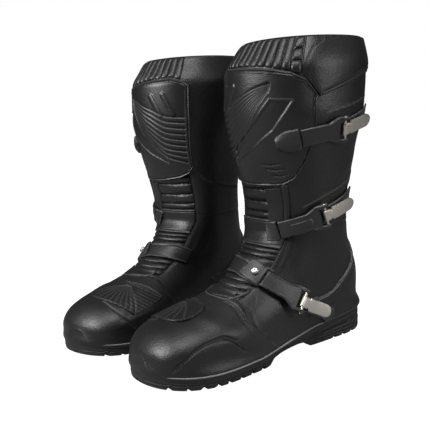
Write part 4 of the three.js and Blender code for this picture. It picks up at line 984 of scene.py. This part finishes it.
def brushed_steel():
    """Warm bead-blasted steel, brushed along the lever, its gloss broken by fine lines."""
    made = bpy.data.materials.new("buckle_steel")
    made.use_nodes = True
    tree = made.node_tree
    shader = tree.nodes["Principled BSDF"]
    shader.inputs["Metallic"].default_value = 1.0
    way = add_node(tree, "ShaderNodeAttribute", attribute_name="along")
    stretch = add_node(tree, "ShaderNodeMapping", {"Scale": (0.03, 2.2, 2.2)})
    lines = add_node(tree, "ShaderNodeTexNoise", {"Scale": 1.6, "Detail": 6})
    tone = add_node(tree, "ShaderNodeMix", {6: (0.48, 0.44, 0.395, 1), 7: (0.68, 0.64, 0.585, 1)},
                    data_type="RGBA")
    gloss = add_node(tree, "ShaderNodeMapRange", {"To Min": 0.30, "To Max": 0.50})
    raised = add_node(tree, "ShaderNodeBump", {"Strength": 0.12, "Distance": 0.0004})
    join(tree, (way, "Vector", stretch, "Vector"), (stretch, 0, lines, "Vector"), (lines, 0, tone, 0),
         (lines, 0, gloss, "Value"), (lines, 0, raised, "Height"), (tone, 2, shader, "Base Color"),
         (gloss, 0, shader, "Roughness"), (raised, 0, shader, "Normal"))
    return made


BUCKLE_STEEL = brushed_steel()
GAP, OVERLAY, PLY_GAP = 0.7, 2.0, 0.4
STRAP_LOW, STRAP_TOP = 3.1, 5.5
PIN_HEIGHT, EAR_TOP = 6.4, 9.0
STRAP_HALF, FORK_HALF, EAR = 9.5, 14.0, 4.0
LEVER_HALF, LEVER_THICK = 7.5, 2.2
NOSE, ROOT_GAP = 0.9, 1.1


class Way:
    """The line a buckle follows over the leather: u along from the pivot, v across, h off it."""

    def __init__(self, pivot, pin, tail, lift):
        self.knots = np.array([pivot, pin, tail], float)
        self.lift = lift
        s = np.linspace(-0.6, 2, 131)
        spots = self.spot(s)
        run = np.concatenate([[0], np.cumsum(np.linalg.norm(np.diff(spots, axis=0), axis=1))])
        self.s, self.run = s, run - np.interp(0, s, run)
        self.pin, self.tail = np.interp(1, s, self.run), np.interp(2, s, self.run)

    def flat(self, s):
        first, mid, last = self.knots
        s = np.asarray(s, float)[..., None]
        return np.where(s < 1, first + (mid - first) * s, mid + (last - mid) * (s - 1))

    def spot(self, s, off=0.0):
        where = self.flat(s)
        return leg(where[..., 0], where[..., 1], off)

    def frame(self, u):
        s = np.interp(u, self.run, self.s)
        where = self.flat(s)
        t, deg = where[..., 0], where[..., 1]
        n = np.cross(leg(t + 0.02, deg) - leg(t - 0.02, deg), leg(t, deg + 1) - leg(t, deg - 1))
        n /= np.linalg.norm(n, axis=-1, keepdims=True)
        n *= np.sign(np.sum(n * (leg(t, deg, 1) - leg(t, deg, 0)), -1, keepdims=True))
        along = self.spot(s + 0.05) - self.spot(s - 0.05)
        along /= np.linalg.norm(along, axis=-1, keepdims=True)
        across = np.cross(n, along)
        across /= np.linalg.norm(across, axis=-1, keepdims=True)
        return self.spot(s), along, across, n

    def at(self, u, v, h):
        u, v, h = np.broadcast_arrays(*(np.asarray(x, float) for x in (u, v, h)))
        origin, _, across, n = self.frame(u)
        rise = self.lift[0] + (self.lift[1] - self.lift[0]) * np.clip(u / self.pin, 0, 1)
        return origin + across * v[..., None] + n * (h + rise)[..., None]

    def slab(self, u, half, top, low, cols=15, crown=0.0, lip=0.0, roll=0.7, sides="tblr", shift=0.0):
        """A strip between heights low and top, half wide each side, with rounded edges."""
        u = np.asarray(u, float)[:, None]
        share = np.linspace(-1, 1, cols)[None]
        share = np.sign(share) * np.abs(share) ** 0.75
        half, top, low = (np.reshape(np.broadcast_to(x, u.shape[:1]), (-1, 1)) for x in (half, top, low))
        v = share * half + shift
        high = top + crown * (1 - share ** 2)
        rim = rims(self.at(u, v, high + 0 * v), sides)
        high = high - rolled(rim, roll) + lip * np.exp(-((rim - 1.5) / 0.5) ** 2)
        lie = np.stack(np.broadcast_arrays(u, v, high), -1)
        return shell(self.at(u, v, high), self.at(u, v, low + 0 * v),
                     edge=np.clip(1 - rim / 1.2, 0, 1), along=lie)

    def bar(self, u, h, radius, length, round_ends=0.35, turns=20):
        """A round bar lying across the strap."""
        origin, along, across, n = self.frame(float(u))
        centre = self.at(float(u), 0.0, h)
        angle = np.linspace(0, 2 * math.pi, turns, endpoint=False)
        rings = []
        half = length / 2
        for v, r in ((-half, radius - round_ends), (-half + round_ends, radius), (-half * 0.3, radius),
                     (half * 0.3, radius), (half - round_ends, radius), (half, radius - round_ends)):
            ring = centre + across * v + r * (np.cos(angle)[:, None] * along + np.sin(angle)[:, None] * n)
            rings.append(ring)
        return loft(np.array(rings))


def strap_shapes(way, plain):
    u1 = way.pin
    u = np.concatenate([[-0.3 * NOSE], np.linspace(0, u1 - 9, 44), np.linspace(u1 - 8.4, u1 - 5.2, 8)])
    half = np.interp(u, [0, u1 - 20, u1 - 9], [STRAP_HALF, STRAP_HALF, FORK_HALF])
    high = np.interp(u, [-NOSE, 1.5, u1 - 7, u1 - 5.2],
                     [STRAP_TOP - 0.5, STRAP_TOP, STRAP_TOP, STRAP_TOP - 0.5])
    shapes = [way.slab(u, half, high, STRAP_LOW, 25, crown=0.25, lip=0.35)]
    for side in (-1, 1):
        u = np.linspace(u1 - 11, u1 + 4.6, 26)
        top = np.interp(u, [u1 - 11, u1 - 8.5, u1 - 3.5, u1 + 2.2, u1 + 3.8, u1 + 4.6],
                        [STRAP_TOP - 0.4, STRAP_TOP, EAR_TOP, EAR_TOP, EAR_TOP - 1.2, EAR_TOP - 3.2])
        low = np.interp(u, [u1 + 1, u1 + 4.6], [STRAP_LOW, STRAP_LOW + 1.4])
        centre = np.interp(u, [u1 - 11, u1 - 8.5], [FORK_HALF - EAR / 2 - 1.2, FORK_HALF - EAR / 2])
        shapes.append(way.slab(u, EAR / 2, top, low, 9, crown=0.2, roll=0.9, shift=side * centre[:, None]))
    if not plain:
        u = np.linspace(12, u1 - 16, 30)
        shapes.append(way.slab(u, 3.6, STRAP_TOP + 0.55, STRAP_TOP - 1, 9, crown=0.3, roll=0.5))
    return shapes


def lever_shapes(way):
    u1 = way.pin
    u = np.concatenate([np.linspace(3.6, 31.5, 40), 32 + 7 * np.sin(np.linspace(0.04, 0.5 * math.pi, 16))])
    half = np.interp(u, [3.6, 5.6, 5.9, 7.4, 7.7], [6.2, 6.2, 4.9, 4.9, LEVER_HALF])
    half = half * np.sqrt(np.clip(1 - (np.clip(u - 32, 0, 7) / 7.15) ** 2, 0.003, 1))
    rise = np.interp(u, [8, 16, 22, 31, 35, 39], [0, 0.3, 0.8, 2.2, 3.0, 4.0])
    top = PIN_HEIGHT + 1.4 + rise
    plate = way.slab(u1 + u, half, top, top - LEVER_THICK, 19, crown=0.35, roll=0.9)
    u = np.linspace(-2.4, 5.4, 14)
    tab = way.slab(u1 + u, 6.2, PIN_HEIGHT + 2.1 * np.sqrt(np.clip(1 - (np.clip(-u, 0, 3) / 2.7) ** 2, 0, 1)),
                   PIN_HEIGHT - 2.0, 13, crown=0.2, roll=0.8)
    return [plate, tab]


def ladder_shapes(way):
    u0 = way.pin - 13
    u = np.linspace(u0, way.tail, 70)
    low, flat_top = GAP * 0.6, GAP * 0.6 + 1.5
    half = 8.5 * np.sqrt(np.clip(1 - (np.clip(u - way.tail + 7, 0, 7) / 7.4) ** 2, 0, 1)) ** 0.7
    half = np.minimum(half, np.interp(u, [u0, u0 + 4], [6.4, 8.5]))
    base = way.slab(u, half, flat_top, low, 15, roll=0.6, lip=0.3)
    run = np.linspace(u0 + 9.2, u0 + 9.2 + 8.6 * 4.2, 60)
    rows = [(way.at(run, 0.0, flat_top + 0.15), way.frame(run)[2])]
    teeth = set_out(rows, TOOTH_ROW, 4.2, (1.9, 1.2, 13.6), LADDER_PLASTIC)
    return [base, teeth]


def hood(way, length, width, height, nose):
    """The pad at the front end of a strap: a low plate, or a long rounded hood."""
    u = np.linspace(-length, -NOSE - ROOT_GAP, 34)
    share = np.linspace(0, 1, 34)
    half = width / 2 * np.sin(np.arccos(1 - np.minimum(1, nose + share * 1.25)))
    low = GAP + OVERLAY + PLY_GAP
    swell = np.minimum(1, 0.45 + 0.75 * share)
    top = low + 1.5 + (height - 1.6) * 0.3 * swell
    return way.slab(u, half, top, low, 25, crown=(height - 1.6) * 0.7, roll=1.2, lip=0.25)


def screw(way, u, h):
    """Round-headed steel screw with a hexagon socket, standing on the D-shaped plate."""
    origin, along, across, n = way.frame(float(u))
    centre = way.at(float(u), 0.0, h)
    angle = np.linspace(0, 2 * math.pi, 36, endpoint=False)
    hexed = 1.25 * math.cos(math.pi / 6) / np.cos((angle % (math.pi / 3)) - math.pi / 6)
    rings = []
    for r, up in ((4.0, -1.2), (4.0, 0.3), (3.7, 0.9), (3.1, 1.3), (2.3, 1.6), (1.7, 1.7)):
        rings.append((np.full(36, r), up))
    rings += [(hexed, 1.65), (hexed * 0.98, 0.5), (hexed * 0.1, 0.4)]
    shape = [centre + up * n + r[:, None] * (np.cos(angle)[:, None] * along + np.sin(angle)[:, None] * across)
             for r, up in rings]
    return loft(np.array(shape))


BUCKLES = {
    "top": ((2.76, 57), (2.58, 93), (2.1, 142), (27, 24, 6.5, 0.12), (0.1, 0.3)),
    "mid": ((5.92, 29), (5.28, 80), (4.6, 138), (16, 22, 2.0, 0.5), (0.9, 0.9)),
    "instep": ((7.95, 37), (8.36, 81), (8.5, 116), (25, 24, 2.4, 0.4), (0.9, 4.6)),
}
for name, (pivot, pin, tail, plate, lift) in BUCKLES.items():
    way = Way(pivot, pin, tail, lift)
    anchor = [hood(way, *plate)]
    if name == "instep":
        head = screw(way, -11.5, 7.0)
        head["finish"] = 1
        anchor.append(head)
    on_strap = f"{name}_strap_body"
    bar = way.bar(way.pin, PIN_HEIGHT, 1.5, 28.8)
    boots(f"{name}_anchor", anchor, [MOULDED_STRAP, BUCKLE_STEEL])
    boots(f"{name}_strap", strap_shapes(way, name != "mid"), [MOULDED_STRAP], on_strap)
    boots(f"{name}_pin", [bar], [BUCKLE_STEEL], on_strap)
    boots(f"{name}_lever", lever_shapes(way), [BUCKLE_STEEL], f"{name}_lever_body")
    boots(f"{name}_ladder", ladder_shapes(way), [LADDER_PLASTIC])

# ---------------------------------------------------------------- camera
# The pair is seen from its front outer corner, a little above the ankle, through a normal lens.
AZIMUTH, DOWN, TILT = math.radians(46.65), math.radians(9.02), math.radians(-3.385)
ahead = Vector((-math.sin(AZIMUTH) * math.cos(DOWN), math.cos(AZIMUTH) * math.cos(DOWN), -math.sin(DOWN)))
right = ahead.cross(Vector((0, 0, 1))).normalized()
upward = right.cross(ahead)
rolled_right = right * math.cos(TILT) + upward * math.sin(TILT)
rolled_up = upward * math.cos(TILT) - right * math.sin(TILT)
lens = bpy.data.cameras.new("camera")
lens.sensor_width = 36
lens.lens = 49.5
lens.clip_start = 0.01
camera = bpy.data.objects.new("camera", lens)
camera.matrix_world = Matrix((
    (rolled_right.x, rolled_up.x, -ahead.x, 0.528),
    (rolled_right.y, rolled_up.y, -ahead.y, (SHIFT - 546) / 1000),
    (rolled_right.z, rolled_up.z, -ahead.z, 0.261),
    (0, 0, 0, 1)))
scene.collection.objects.link(camera)
scene.camera = camera
